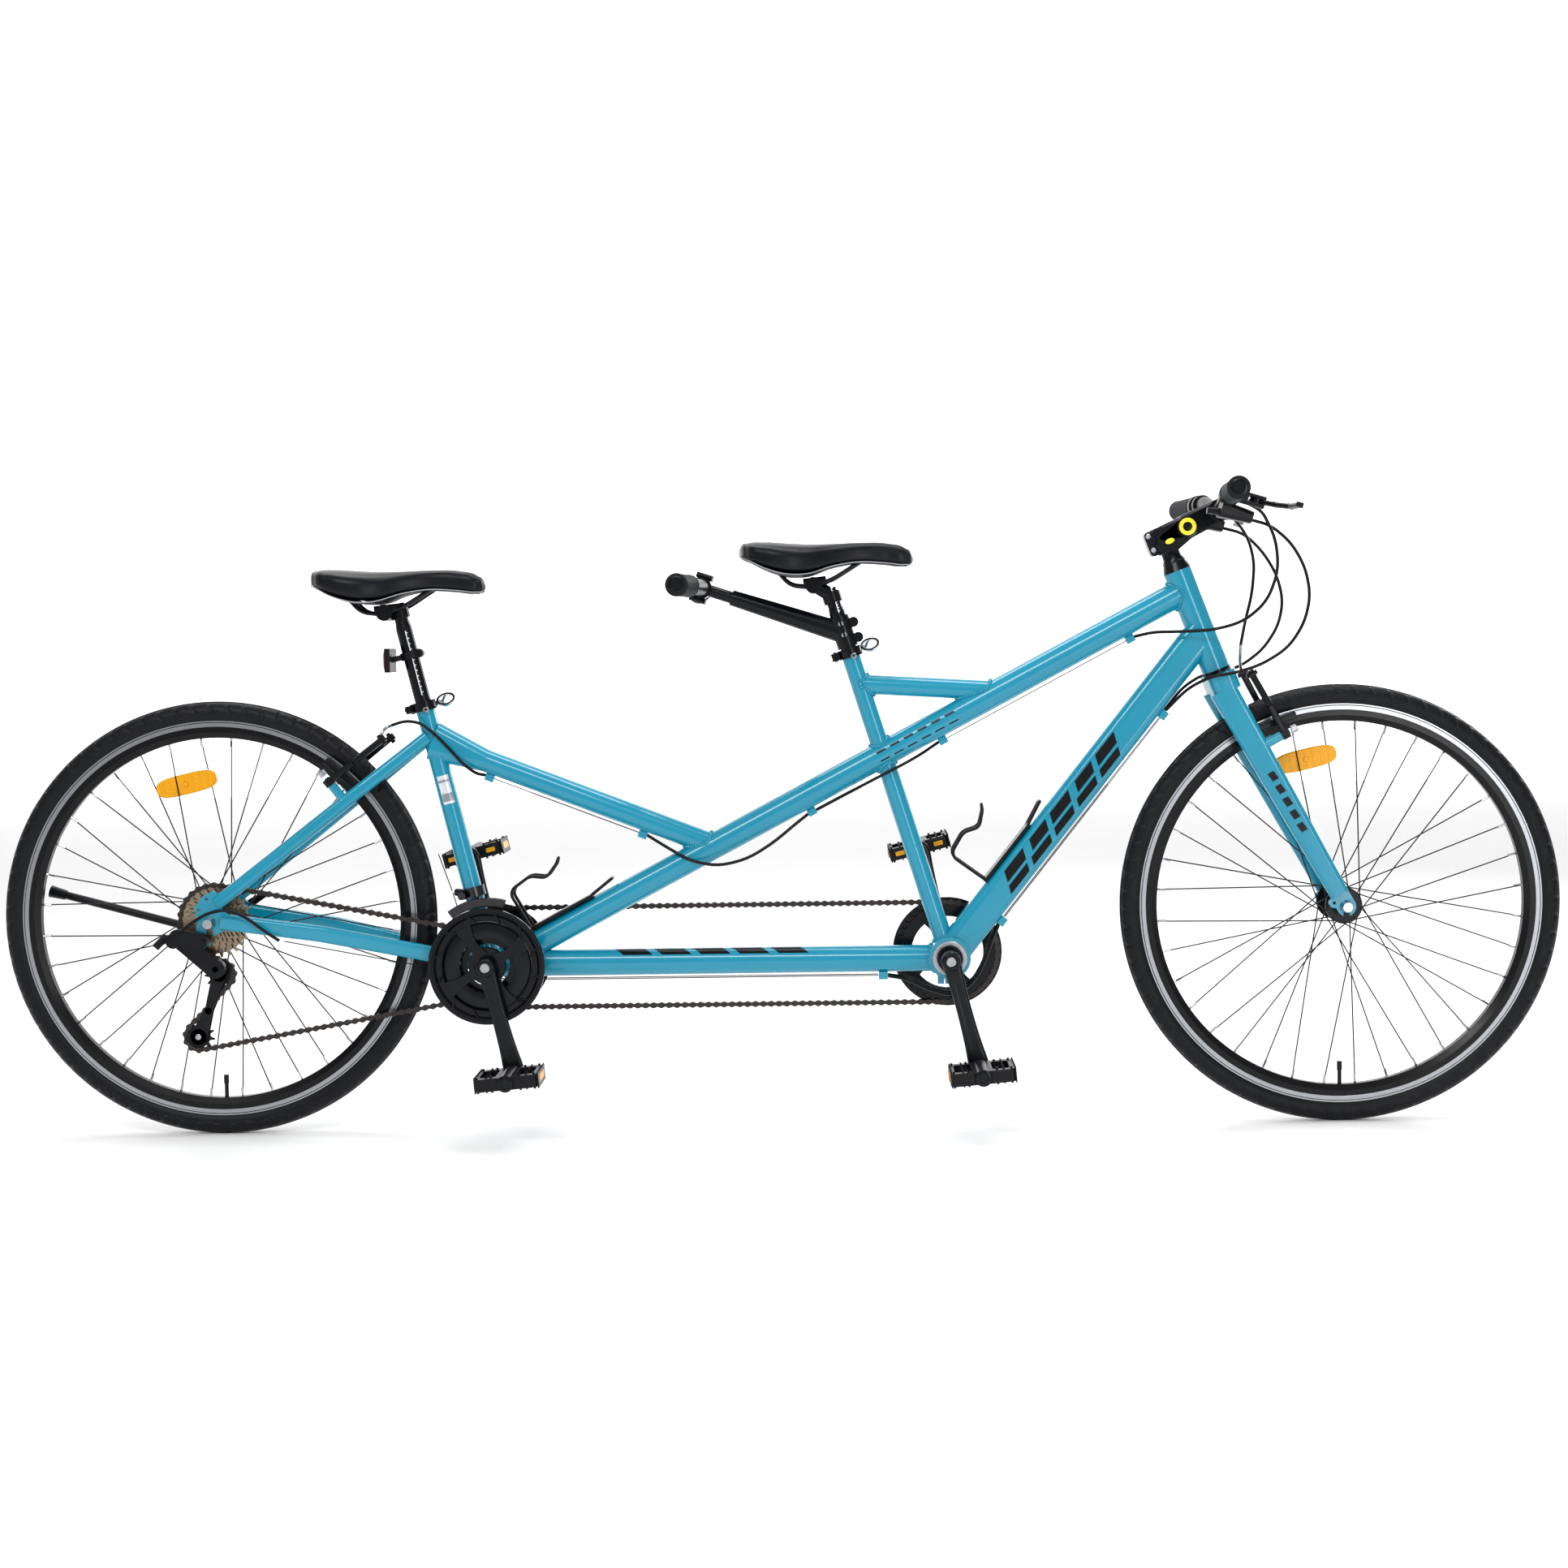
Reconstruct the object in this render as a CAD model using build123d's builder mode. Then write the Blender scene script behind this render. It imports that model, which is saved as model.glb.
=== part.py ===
from build123d import *
import os
from math import acos, atan2, cos, degrees, pi, radians, sin

# Tandem bicycle, in millimetres. +X is forward, +Y is the riders' left, +Z is up.
# The origin is on the ground, under the middle of the wheelbase.

# Wheels
hub_height = 347.0
wheelbase = 1781.2
tyre_section = 18.5
tyre_wall = 3.0
rim_outer = 317.0
rim_inner = 289.0
rim_half_width = 12.0
spokes_per_side = 18
spoke_radius = 1.0
flange_radius = 29.0

# Frame
rear_bracket = Vector(-458.2, 0, 271.0)
chain_pitch = 12.7
timing_links = 155
timing_teeth = 40
front_bracket = rear_bracket + Vector((timing_links - timing_teeth) * chain_pitch / 2, 0, 0)
head_bottom = Vector(698.2, 0, 719.9)
head_top = Vector(638.5, 0, 876.2)
captain_seat_top = Vector(121.1, 0, 756.9)
stoker_seat_top = Vector(-556.7, 0, 682.7)
seat_tube_radius = 15.0
post_radius = 12.7
post_clearance = 0.05
main_tube_radius = 21.0
down_width = 43.0
down_depth = 53.0
top_tube_radius = 18.0
brace_radius = 15.5
head_tube_radius = 22.5
wall = 2.2
shell_half_width = 34.0
rear_shell_radius = 22.0
front_shell_radius = 33.0
eccentric_radius = 27.0
cup_radius = 17.5

# Axles and drive
axle_radius = 6.0
front_axle_radius = 5.0
spindle_radius = 8.5
running_clearance = 0.05
rear_dropout_inner = 70.0
front_dropout_inner = 50.0
dropout_thickness = 6.0
chain_y = -36.0
timing_y = 48.0
crank_length = 170.0
crank_lean = radians(14.3)
small_ring_teeth = 24
sprocket_teeth = 28
pulley_teeth = 11

rear_hub = Vector(-wheelbase / 2, 0, hub_height)
front_hub = Vector(wheelbase / 2, 0, hub_height)
cross_axis = Vector(0, 1, 0)
guide_pulley_centre = rear_hub + Vector(4.6, 0, -86.0)
tension_pulley_drop = Vector(-26.4, 0, -184.5)

os.makedirs("parts", exist_ok=True)


# ---------------------------------------------------------------- helpers
def side_plane(y, centre=Vector(0, 0, 0)):
    """Upright plane along the bicycle at this y, drawn in x and z; it extrudes towards -Y."""
    return Plane(origin=(centre.X, y, centre.Z), x_dir=(1, 0, 0), z_dir=(0, -1, 0))


def rod(start, end, radius, bore=0.0):
    start = Vector(start)
    end = Vector(end)
    with BuildPart() as piece:
        with BuildSketch(Plane(origin=start, z_dir=end - start)):
            Circle(radius)
            if bore:
                Circle(bore, mode=Mode.SUBTRACT)
        extrude(amount=(end - start).length)
    return piece.part


def cone(start, end, radius, end_radius):
    start = Vector(start)
    end = Vector(end)
    with BuildPart() as piece:
        with BuildSketch(Plane(origin=start, z_dir=end - start)):
            Circle(radius)
        with BuildSketch(Plane(origin=end, z_dir=end - start)):
            Circle(end_radius)
        loft(ruled=True)
    return piece.part


def bar(start, end, width, depth, corner, end_width=None, end_depth=None):
    """Straight bar of rounded oblong section, its width along Y, from start to end."""
    start = Vector(start)
    end = Vector(end)
    along = end - start
    last_width = end_width or width
    last_depth = end_depth or depth
    last_corner = min(corner, 0.48 * min(last_width, last_depth))
    with BuildPart() as piece:
        with BuildSketch(Plane(origin=start, x_dir=cross_axis, z_dir=along)):
            RectangleRounded(width, depth, corner)
        if end_width:
            with BuildSketch(Plane(origin=end, x_dir=cross_axis, z_dir=along)):
                RectangleRounded(last_width, last_depth, last_corner)
            loft(ruled=True)
        else:
            extrude(amount=along.length)
    return piece.part


def bent_rod(points, radii, radius):
    """Round rod along straight runs joined by tangent arcs."""
    with BuildPart() as piece:
        with BuildLine() as path:
            FilletPolyline(*points, radius=radii)
        with BuildSketch(Plane(origin=path.line @ 0, z_dir=path.line % 0)):
            Circle(radius)
        sweep(path=path.line)
    return piece.part


def arc_radii(points, share=0.45):
    """Largest tangent arc at each inner corner of a route."""
    radii = []
    for before, corner, after in zip(points, points[1:], points[2:]):
        run_in = Vector(corner) - Vector(before)
        run_out = Vector(after) - Vector(corner)
        turn = radians(run_in.get_angle(run_out))
        radii.append(share * min(run_in.length, run_out.length) / sin(turn / 2) * cos(turn / 2))
    return radii


def cut(piece, *tools):
    """The piece less its neighbours; only its main solid is kept."""
    with BuildPart() as trimmed:
        add(piece)
        for tool in tools:
            add(tool, mode=Mode.SUBTRACT)
    return trimmed.part.solids().sort_by(SortBy.VOLUME)[-1]


def turned(points, centre):
    """Solid of revolution about the cross axis; points are (y, radius)."""
    with BuildPart() as piece:
        with BuildSketch(Plane(origin=centre, x_dir=(0, 1, 0), z_dir=(1, 0, 0))):
            with BuildLine():
                Polyline(*points, close=True)
            make_face()
        revolve(axis=Axis(centre, cross_axis))
    return piece.part


def pitch_radius(teeth):
    return teeth * chain_pitch / (2 * pi)


def tooth_points(teeth, phase):
    """Outline of a toothed wheel with a tooth at the phase angle."""
    root = pitch_radius(teeth) - 4.4
    tip = pitch_radius(teeth) + 2.6
    outline = []
    for k in range(teeth):
        middle = phase + 2 * pi * k / teeth
        for reach, half in ((root, 3.0), (tip, 1.1), (tip, -1.1), (root, -3.0)):
            angle = middle - half / reach
            outline.append((reach * cos(angle), reach * sin(angle)))
    return outline


def toothed_ring(centre, y, teeth, phase, bore, thickness=2.0):
    with BuildPart() as piece:
        with BuildSketch(side_plane(y, centre)):
            with BuildLine():
                Polyline(*tooth_points(teeth, phase), close=True)
            make_face()
            Circle(bore, mode=Mode.SUBTRACT)
        extrude(amount=thickness / 2, both=True)
    return piece.part


def wheel_tangent(wheel_a, wheel_b):
    """Angle of the outward normal where a chain passes from one wheel to the next."""
    centre_a, radius_a, turn_a = wheel_a
    centre_b, radius_b, turn_b = wheel_b
    gap = centre_b - centre_a
    lean = acos((turn_a * radius_a - turn_b * radius_b) / gap.length)
    return atan2(gap.Z, gap.X) - lean


def chain_route(wheels):
    """For each wheel: centre, signed radius, start angle and swept angle of the chain on it."""
    count = len(wheels)
    leaves = [wheel_tangent(wheels[k], wheels[(k + 1) % count]) for k in range(count)]
    route = []
    for k, (centre, radius, turn) in enumerate(wheels):
        start = leaves[k - 1]
        sweep_angle = (turn * (leaves[k] - start)) % (2 * pi)
        route.append((centre, turn * radius, start, turn * sweep_angle))
    return route


def route_point(centre, signed_radius, angle):
    return Vector(centre.X + signed_radius * cos(angle), 0, centre.Z + signed_radius * sin(angle))


def route_length(route):
    total = 0.0
    for k, (centre, reach, start, swept) in enumerate(route):
        after = route[(k + 1) % len(route)]
        leave = route_point(centre, reach, start + swept)
        meet = route_point(after[0], after[1], after[2])
        total += abs(reach * swept) + (meet - leave).length
    return total


def route_face_wire(route, shift):
    """Closed outline of the chain, moved outwards by the shift."""
    count = len(route)
    for k, (centre, reach, start, swept) in enumerate(route):
        after = route[(k + 1) % count]
        grown = reach + shift
        first = route_point(centre, grown, start)
        middle = route_point(centre, grown, start + swept / 2)
        last = route_point(centre, grown, start + swept)
        meet = route_point(after[0], after[1] + shift, after[2])
        ThreePointArc((first.X, first.Z), (middle.X, middle.Z), (last.X, last.Z))
        Line((last.X, last.Z), (meet.X, meet.Z))


def roller_points(route, links):
    """Centres of the chain's rollers, one pitch apart along its route, and the pitch."""
    step = route_length(route) / links
    found = []
    travelled = 0.0
    due = 0.0
    for k, (centre, reach, start, swept) in enumerate(route):
        after = route[(k + 1) % len(route)]
        on_wheel = abs(reach * swept)
        while due < travelled + on_wheel - 1e-6 and len(found) < links:
            share = (due - travelled) / on_wheel
            found.append((route_point(centre, reach, start + swept * share), k))
            due += step
        travelled += on_wheel
        leave = route_point(centre, reach, start + swept)
        run = route_point(after[0], after[1], after[2]) - leave
        while due < travelled + run.length - 1e-6 and len(found) < links:
            found.append((leave + run * ((due - travelled) / run.length), None))
            due += step
        travelled += run.length
    return found, step


def tooth_phase(rollers, wheel_number, centre, teeth):
    """Angle of a tooth midway between two rollers, taken at the middle of the wrap."""
    held = [point for point, wheel in rollers if wheel == wheel_number]
    middle = held[len(held) // 2] - centre
    return atan2(middle.Z, middle.X) + pi / teeth


def chain(route, links, y):
    """Two side plates all round, joined by a roller at each pitch."""
    plate_half_height = 4.1
    inner_half_width = 1.6
    plate = 1.6
    rollers, step = roller_points(route, links)
    with BuildPart() as piece:
        for plane_y in (y - inner_half_width, y + inner_half_width + plate):
            with BuildSketch(side_plane(plane_y)):
                with BuildLine():
                    route_face_wire(route, plate_half_height)
                make_face()
                with BuildLine():
                    route_face_wire(route, -plate_half_height)
                make_face(mode=Mode.SUBTRACT)
            extrude(amount=plate)
        with BuildSketch(side_plane(y)):
            with Locations(*[(point.X, point.Z) for point, wheel in rollers]):
                Circle(3.6)
        extrude(amount=inner_half_width + 0.1, both=True)
    return piece.part


def mirrored(piece):
    return mirror(piece, about=Plane.XZ)


def save(piece, name):
    piece.label = name
    export_step(piece, f"parts/{name}.step")


# ---------------------------------------------------------------- frame
head_up = (head_top - head_bottom).normalized()
captain_up = (captain_seat_top - front_bracket).normalized()
stoker_up = (stoker_seat_top - rear_bracket).normalized()


def on_head(distance):
    return head_bottom + head_up * distance


main_start = rear_bracket + Vector(0, 0, -8)
main_end = head_top + head_up * -33
down_start = front_bracket
down_end = head_bottom + head_up * 63
top_start = stoker_seat_top + stoker_up * -59
top_end = Vector(-90, 0, 449)
brace_start = captain_seat_top + captain_up * -54
brace_end = Vector(345, 0, 692)
shell_end = Vector(0, shell_half_width, 0)


def cable_stop(place, along, width=10):
    """Small block under a tube that holds the end of a cable housing."""
    start = place - along * 7
    return bar(start, start + along * 14, width, 13, 3)


front_shell_solid = rod(front_bracket - shell_end, front_bracket + shell_end, front_shell_radius)
rear_shell_solid = rod(rear_bracket - shell_end, rear_bracket + shell_end, rear_shell_radius)
head_solid = rod(head_bottom, head_top, head_tube_radius)
captain_solid = rod(front_bracket, captain_seat_top, seat_tube_radius)
stoker_solid = rod(rear_bracket, stoker_seat_top, seat_tube_radius)
down_solid = bar(down_start, down_end, down_width, down_depth, 14)
main_solid = rod(main_start, main_end, main_tube_radius)
seat_bore = post_radius + post_clearance

with BuildPart() as head_tube:
    add(rod(head_bottom, head_top, head_tube_radius, cup_radius))

with BuildPart() as captain_seat_tube:
    add(cut(rod(front_bracket, captain_seat_top, seat_tube_radius, seat_bore), front_shell_solid))

with BuildPart() as stoker_seat_tube:
    add(cut(rod(rear_bracket, stoker_seat_top, seat_tube_radius, seat_bore), rear_shell_solid))

down_along = (down_end - down_start).normalized()
down_below = Vector(down_along.Z, 0, -down_along.X)
main_along = (main_end - main_start).normalized()
main_below = Vector(main_along.Z, 0, -main_along.X)

with BuildPart() as down_tube:
    add(down_solid)
    for distance in (96, 509):
        add(cable_stop(down_start + down_along * distance + down_below * 31.5, down_along, 26))
    hollow_end = down_end + down_along * 5
    hollow_width = down_width - 2 * wall
    hollow_depth = down_depth - 2 * wall
    add(bar(down_start - down_along * 5, hollow_end, hollow_width, hollow_depth, 11.8), mode=Mode.SUBTRACT)
down_tube_solid = cut(down_tube.part, head_solid, front_shell_solid, captain_solid)

with BuildPart() as main_tube:
    add(rod(main_start, main_end, main_tube_radius, main_tube_radius - wall))
    for distance in (569, 805, 1140):
        add(cable_stop(main_start + main_along * distance + main_below * 25.8, main_along))
main_tube_solid = cut(main_tube.part, head_solid, down_solid, captain_solid, stoker_solid, rear_shell_solid)

boom_start = rear_bracket + Vector(0, 0, -3)
boom_end = front_bracket + Vector(0, 0, -3)
boom_along = Vector(1, 0, 0)
with BuildPart() as boom_tube:
    add(rod(boom_start, boom_end, main_tube_radius, main_tube_radius - wall))
    add(cable_stop(boom_end + Vector(-105, 0, -25.8), boom_along, 26))
boom_tube_solid = cut(
    boom_tube.part, front_shell_solid, rear_shell_solid, main_solid, captain_solid, down_solid, stoker_solid
)

top_along = (top_end - top_start).normalized()
top_below = Vector(top_along.Z, 0, -top_along.X)
flare_length = 90
with BuildPart() as stoker_top_tube:
    add(bar(top_start, top_start + top_along * flare_length, 36, 62, 17.9, 36, 36))
    add(rod(top_start + top_along * flare_length, top_end, top_tube_radius))
    inner_start = top_start + top_along * 3
    add(bar(inner_start, top_start + top_along * flare_length, 32, 57, 15.9, 32, 32), mode=Mode.SUBTRACT)
    add(rod(top_start + top_along * flare_length, top_end, top_tube_radius - wall), mode=Mode.SUBTRACT)
    for distance in (104, 364):
        add(cable_stop(top_start + top_along * distance + top_below * 22.8, top_along))
stoker_top_solid = cut(stoker_top_tube.part, stoker_solid, main_solid)

with BuildPart() as brace_tube:
    add(rod(brace_start, brace_end, brace_radius, brace_radius - wall))
brace_tube_solid = cut(brace_tube.part, captain_solid, main_solid)

frame_pieces = [
    head_tube.part.solid(), captain_seat_tube.part.solid(), stoker_seat_tube.part.solid(),
    down_tube_solid, main_tube_solid, boom_tube_solid, stoker_top_solid, brace_tube_solid,
]
save(Compound(children=frame_pieces), "frame_tubes")

with BuildPart() as rear_shell:
    add(rear_shell_solid)
    add(rod(rear_bracket - shell_end, rear_bracket + shell_end, cup_radius), mode=Mode.SUBTRACT)

binder_low = front_bracket + Vector(-8, 0, -front_shell_radius - 9)
with BuildPart() as front_shell:
    add(front_shell_solid)
    add(bar(binder_low, binder_low + Vector(0, 0, 16), 44, 22, 3))
    add(rod(front_bracket - shell_end, front_bracket + shell_end, eccentric_radius), mode=Mode.SUBTRACT)
    add(bar(binder_low, binder_low + Vector(0, 0, 16), 46, 2, 0.5), mode=Mode.SUBTRACT)
save(Compound(children=[rear_shell.part.solid(), front_shell.part.solid()]), "bracket_shells")


# Bearings that the frame holds: an eccentric insert, bracket cups and headset cups.
def bracket_cup(centre, hand):
    inner = 14.0
    flange = 3.0
    points = [
        (hand * inner, spindle_radius + running_clearance),
        (hand * inner, cup_radius),
        (hand * shell_half_width, cup_radius),
        (hand * shell_half_width, cup_radius + 3),
        (hand * (shell_half_width + flange), cup_radius + 3),
        (hand * (shell_half_width + flange), spindle_radius + running_clearance),
    ]
    return turned(points, centre)


steerer_radius = 14.3
head_length = (head_top - head_bottom).length
upper_cup_height = 14.0
lower_cup_height = 5.0
with BuildPart() as eccentric_insert:
    add(rod(front_bracket - shell_end, front_bracket + shell_end, eccentric_radius, cup_radius))
    with Locations((front_bracket.X - 13, -shell_half_width, front_bracket.Z - 18)):
        Cylinder(2, 8, rotation=(90, 0, 0), mode=Mode.SUBTRACT)
with BuildPart() as upper_cup:
    add(cone(on_head(head_length), on_head(head_length + upper_cup_height), 23.2, 18.0))
    add(rod(on_head(head_length - 17), on_head(head_length + 1), cup_radius))
    add(rod(on_head(140), on_head(190), steerer_radius + running_clearance), mode=Mode.SUBTRACT)
with BuildPart() as lower_cup:
    add(rod(on_head(-lower_cup_height), on_head(0), 23.0))
    add(rod(on_head(-1), on_head(17), cup_radius))
    add(rod(on_head(-10), on_head(20), steerer_radius + running_clearance), mode=Mode.SUBTRACT)
cups = [bracket_cup(centre, hand).solid() for centre in (rear_bracket, front_bracket) for hand in (-1, 1)]
bearing_pieces = cups + [eccentric_insert.part.solid(), upper_cup.part.solid(), lower_cup.part.solid()]
save(Compound(children=bearing_pieces), "bearing_cups")

# Rear stays: the chain stays, the seat stays and their bridges.
chain_stay_route = [(-470, -17, 270), (-572, -36, 294), (-720, -62, 327), (-872, -75, 350)]
seat_stay_route = [(-878, -75, 378), (-650, -38, 555), (-551, -11, 632)]
stay_outer = rod(rear_bracket - shell_end, rear_bracket + shell_end, rear_shell_radius)


def stay(route, half_width, half_height, bend):
    with BuildPart() as piece:
        with BuildLine() as path:
            FilletPolyline(*route, radius=bend)
        with BuildSketch(Plane(origin=path.line @ 0, x_dir=cross_axis, z_dir=path.line % 0)):
            RectangleRounded(2 * half_width, 2 * half_height, half_width - 0.2)
        sweep(path=path.line)
    return piece.part


seat_stay_along = (Vector(-650, 0, 555) - Vector(-878, 0, 378)).normalized()
seat_stay_above = Vector(-seat_stay_along.Z, 0, seat_stay_along.X)
rear_boss = Vector(-677.8, -42.5, 533.4)
front_leg_top = Vector(703, -38, 688)
front_leg_bottom = Vector(880.5, -53.5, 366)
leg_along = Vector(-0.4765, 0, 0.8792)
leg_ahead = Vector(0.8792, 0, 0.4765)
front_boss = Vector(755.7, -44.5, 595.8)
rear_arm_offset = 40.0
front_arm_offset = 48.0
arm_half = 6.0
stud_radius = 4.0

with BuildPart() as chain_stay:
    add(stay(chain_stay_route, 7.5, 13.0, 120))
with BuildPart() as seat_stay:
    add(stay(seat_stay_route, 8.0, 10.5, 60))
    add(rod(rear_boss, rear_boss + seat_stay_above * (rear_arm_offset - arm_half - 1), 7.5))
    add(rod(rear_boss, rear_boss + seat_stay_above * (rear_arm_offset + arm_half + 2), stud_radius))
chain_stay_solid = cut(chain_stay.part, stay_outer, stoker_solid, main_solid)
seat_stay_solid = cut(seat_stay.part, stoker_solid, stoker_top_solid)
seat_bridge = cut(
    rod((-612, -30, 587), (-612, 30, 587), 7), seat_stay.part, mirrored(seat_stay.part)
)
chain_bridge = cut(
    rod((-528, -36, 284), (-528, 36, 284), 7), chain_stay.part, mirrored(chain_stay.part)
)
stay_pieces = [
    chain_stay_solid, mirrored(chain_stay_solid), seat_stay_solid, mirrored(seat_stay_solid),
    seat_bridge, chain_bridge,
]
save(Compound(children=stay_pieces), "rear_stays")

# Rear dropouts, with eyelets, the gear hanger on the right and the stand's plate on the left.
rear_eyelets = ((-893.5, 385.5), (-906.5, 369.0))
stand_pivot = Vector(-905, 88, 306)
hanger_bolt = (-899, 320)
eyelet_radius = 2.5


def dropout(hand):
    """Flat plate between the stays' ends; the axle slot opens downwards."""
    outline = [(-862, 339), (-862, 361), (-872, 372), (-868, 392), (-884, 398), (-900, 390),
               (-913, 372), (-910, 352), (-906, 336), (-898, 330), (-882, 328)]
    plane_y = -rear_dropout_inner if hand < 0 else rear_dropout_inner + dropout_thickness
    with BuildPart() as piece:
        with BuildSketch(side_plane(plane_y)):
            with BuildLine():
                Polyline(*outline, close=True)
            make_face()
            with Locations((rear_hub.X, rear_hub.Z)):
                Circle(axle_radius, mode=Mode.SUBTRACT)
            with Locations((rear_hub.X, rear_hub.Z - 15)):
                Rectangle(2 * axle_radius, 30, mode=Mode.SUBTRACT)
            with Locations(*rear_eyelets):
                Circle(eyelet_radius, mode=Mode.SUBTRACT)
        extrude(amount=dropout_thickness)
        if hand < 0:
            with BuildSketch(side_plane(plane_y)):
                with BuildLine():
                    Polyline((-898, 345), (-911, 345), (-912, 318), (-900, 308), (-890, 314), (-897.6, 330),
                             close=True)
                make_face()
                with Locations(hanger_bolt):
                    Circle(4, mode=Mode.SUBTRACT)
            extrude(amount=dropout_thickness)
        else:
            with BuildSketch(side_plane(plane_y)):
                with BuildLine():
                    Polyline((-898, 345), (-911, 345), (-916, 312), (-909, 297), (-897, 300), (-897.6, 330),
                             close=True)
                make_face()
                with Locations((stand_pivot.X, stand_pivot.Z)):
                    Circle(3.5, mode=Mode.SUBTRACT)
            extrude(amount=dropout_thickness)
    return piece.part


dropout_pieces = []
for hand in (-1, 1):
    stays = [chain_stay.part, seat_stay.part]
    if hand > 0:
        stays = [mirrored(part) for part in stays]
    dropout_pieces.append(cut(dropout(hand), *stays))
save(Compound(children=dropout_pieces), "rear_dropouts")

# Seat collars, one round the top of each seat tube.
collar_radius = 19.0
collar_height = 15.0


def seat_lever_pivot(top, up):
    """Middle of the cam pin, on the left end of the collar's skewer."""
    return top - up * 1.5 - Vector(up.Z, 0, -up.X) * 24 + Vector(0, 24.5, 0)


def seat_collar(top, up):
    """Split collar and the skewer through its ears."""
    ahead = Vector(up.Z, 0, -up.X)
    low = top - up * 9
    with BuildPart() as piece:
        add(rod(low, low + up * collar_height, collar_radius))
        ear_middle = low + up * (collar_height / 2) - ahead * 22
        add(bar(ear_middle - up * 6, ear_middle + up * 6, 16, 16, 3))
        add(rod(low - up * 1, low + up * (collar_height + 1), seat_tube_radius), mode=Mode.SUBTRACT)
        slot_middle = low + up * (collar_height / 2) - ahead * 24
        add(bar(slot_middle - up * 9, slot_middle + up * 9, 3, 24, 1), mode=Mode.SUBTRACT)
        bolt_y = Vector(0, 12, 0)
        add(rod(ear_middle - ahead * 2 - bolt_y, ear_middle - ahead * 2 + bolt_y, 2.6), mode=Mode.SUBTRACT)
        inner_low = low + up * (collar_height - 5.8)
        add(rod(inner_low, inner_low + up * 5.8, seat_tube_radius, seat_bore + 0.6))
    pivot = seat_lever_pivot(top, up)
    skewer_start = Vector(pivot.X, -15, pivot.Z)
    with BuildPart() as skewer:
        add(rod(skewer_start, pivot, 2.5))
        add(rod(skewer_start, skewer_start + Vector(0, 6.6, 0), 5.5))
        add(rod(skewer_start + Vector(0, 23.4, 0), skewer_start + Vector(0, 30, 0), 5.5))
        add(rod(pivot - up * 8, pivot + up * 8, 3))
    return [piece.part.solids().sort_by(SortBy.VOLUME)[-1], skewer.part.solid()]


collar_pieces = seat_collar(captain_seat_top, captain_up) + seat_collar(stoker_seat_top, stoker_up)
save(Compound(children=collar_pieces), "seat_collars")


def seat_lever(top, up, name):
    """Cam lever that runs round the left of the collar to an open loop in front."""
    ahead = Vector(up.Z, 0, -up.X)
    pivot = seat_lever_pivot(top, up)
    with BuildPart() as piece:
        add(rod(pivot - up * 6.5, pivot + up * 6.5, 7.5))
        with BuildSketch(Plane(origin=pivot - up * 4, x_dir=ahead, z_dir=up)):
            with Locations((27, 1.5)):
                RectangleRounded(54, 6, 2.5)
        extrude(amount=8)
        loop_middle = pivot + ahead * 58 + Vector(0, -13, 0) + up * 2
        loop_normal = up * cos(radians(50)) + Vector(0, -sin(radians(50)), 0)
        with BuildSketch(Plane(origin=loop_middle - loop_normal * 2.2, x_dir=ahead, z_dir=loop_normal)):
            Ellipse(15.5, 12.5)
            Ellipse(12, 9, mode=Mode.SUBTRACT)
        extrude(amount=4.4)
        link = pivot + ahead * 50 + Vector(0, 1.5, 0)
        add(rod(link, loop_middle + loop_normal.cross(ahead) * 10.7, 2.6))
        add(rod(pivot - up * 2.8, pivot + up * 2.8, 9), mode=Mode.SUBTRACT)
        add(rod(pivot - up * 10, pivot + up * 10, 3 + running_clearance), mode=Mode.SUBTRACT)
    save(piece.part, name)
    print(name, "pivot", pivot, "axis", up, "solids", len(piece.part.solids()))


seat_lever(captain_seat_top, captain_up, "captain_seat_lever")
seat_lever(stoker_seat_top, stoker_up, "stoker_seat_lever")


# Bottle cages: a flat back plate and a closed loop of wire, one on each side of the frame.
def bottle_cage(base, along, away):
    """Wire cage that stands on a tube; u runs up the tube and v points away from it."""
    def spot(u, v, y):
        return base + along * u + away * v + Vector(0, y, 0)
    wire = 2.5
    half = 16.0
    side = [(0, 3, half), (-2, 40, half), (-3, 71, half), (38, 77, half), (60, 62, half), (84, 74, half - 6)]
    route = [spot(u, v, y) for u, v, y in side]
    route += [spot(92, 82, 0)]
    route += [spot(u, v, -y) for u, v, y in reversed(side)]
    route = [route[k] for k in range(len(route)) if k not in (1, len(route) - 2)]
    with BuildPart() as piece:
        add(bent_rod([tuple(p) for p in route], arc_radii(route, 0.3), wire))
        add(bar(spot(-3, 2.5, 0), spot(112, 2.5, 0), 2 * half + 5, 5, 2))
        add(rod(spot(108, 3, -12), spot(150, 11, -9), wire))
        add(rod(spot(108, 3, 12), spot(150, 11, 9), wire))
        add(rod(spot(150, 11, -11), spot(150, 11, 11), wire))
    return piece.part


front_cage_base = down_start + down_along * 132 - down_below * 27
rear_cage_base = main_start + main_along * 88 - main_below * 21.6
cages = [bottle_cage(front_cage_base, down_along, -down_below), bottle_cage(rear_cage_base, main_along, -main_below)]
save(Compound(children=[cage.solid() for cage in cages]), "bottle_cages")

# ---------------------------------------------------------------- chains and their wheels
timing_route = chain_route([
    (rear_bracket, pitch_radius(timing_teeth), 1),
    (front_bracket, pitch_radius(timing_teeth), 1),
])
timing_rollers, timing_step = roller_points(timing_route, timing_links)


def drive_route_with(pulley_shift):
    return chain_route([
        (rear_hub, pitch_radius(sprocket_teeth), 1),
        (guide_pulley_centre, pitch_radius(pulley_teeth), -1),
        (rear_hub + tension_pulley_drop + Vector(pulley_shift, 0, 0), pitch_radius(pulley_teeth), 1),
        (rear_bracket, pitch_radius(small_ring_teeth), 1),
    ])


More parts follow.
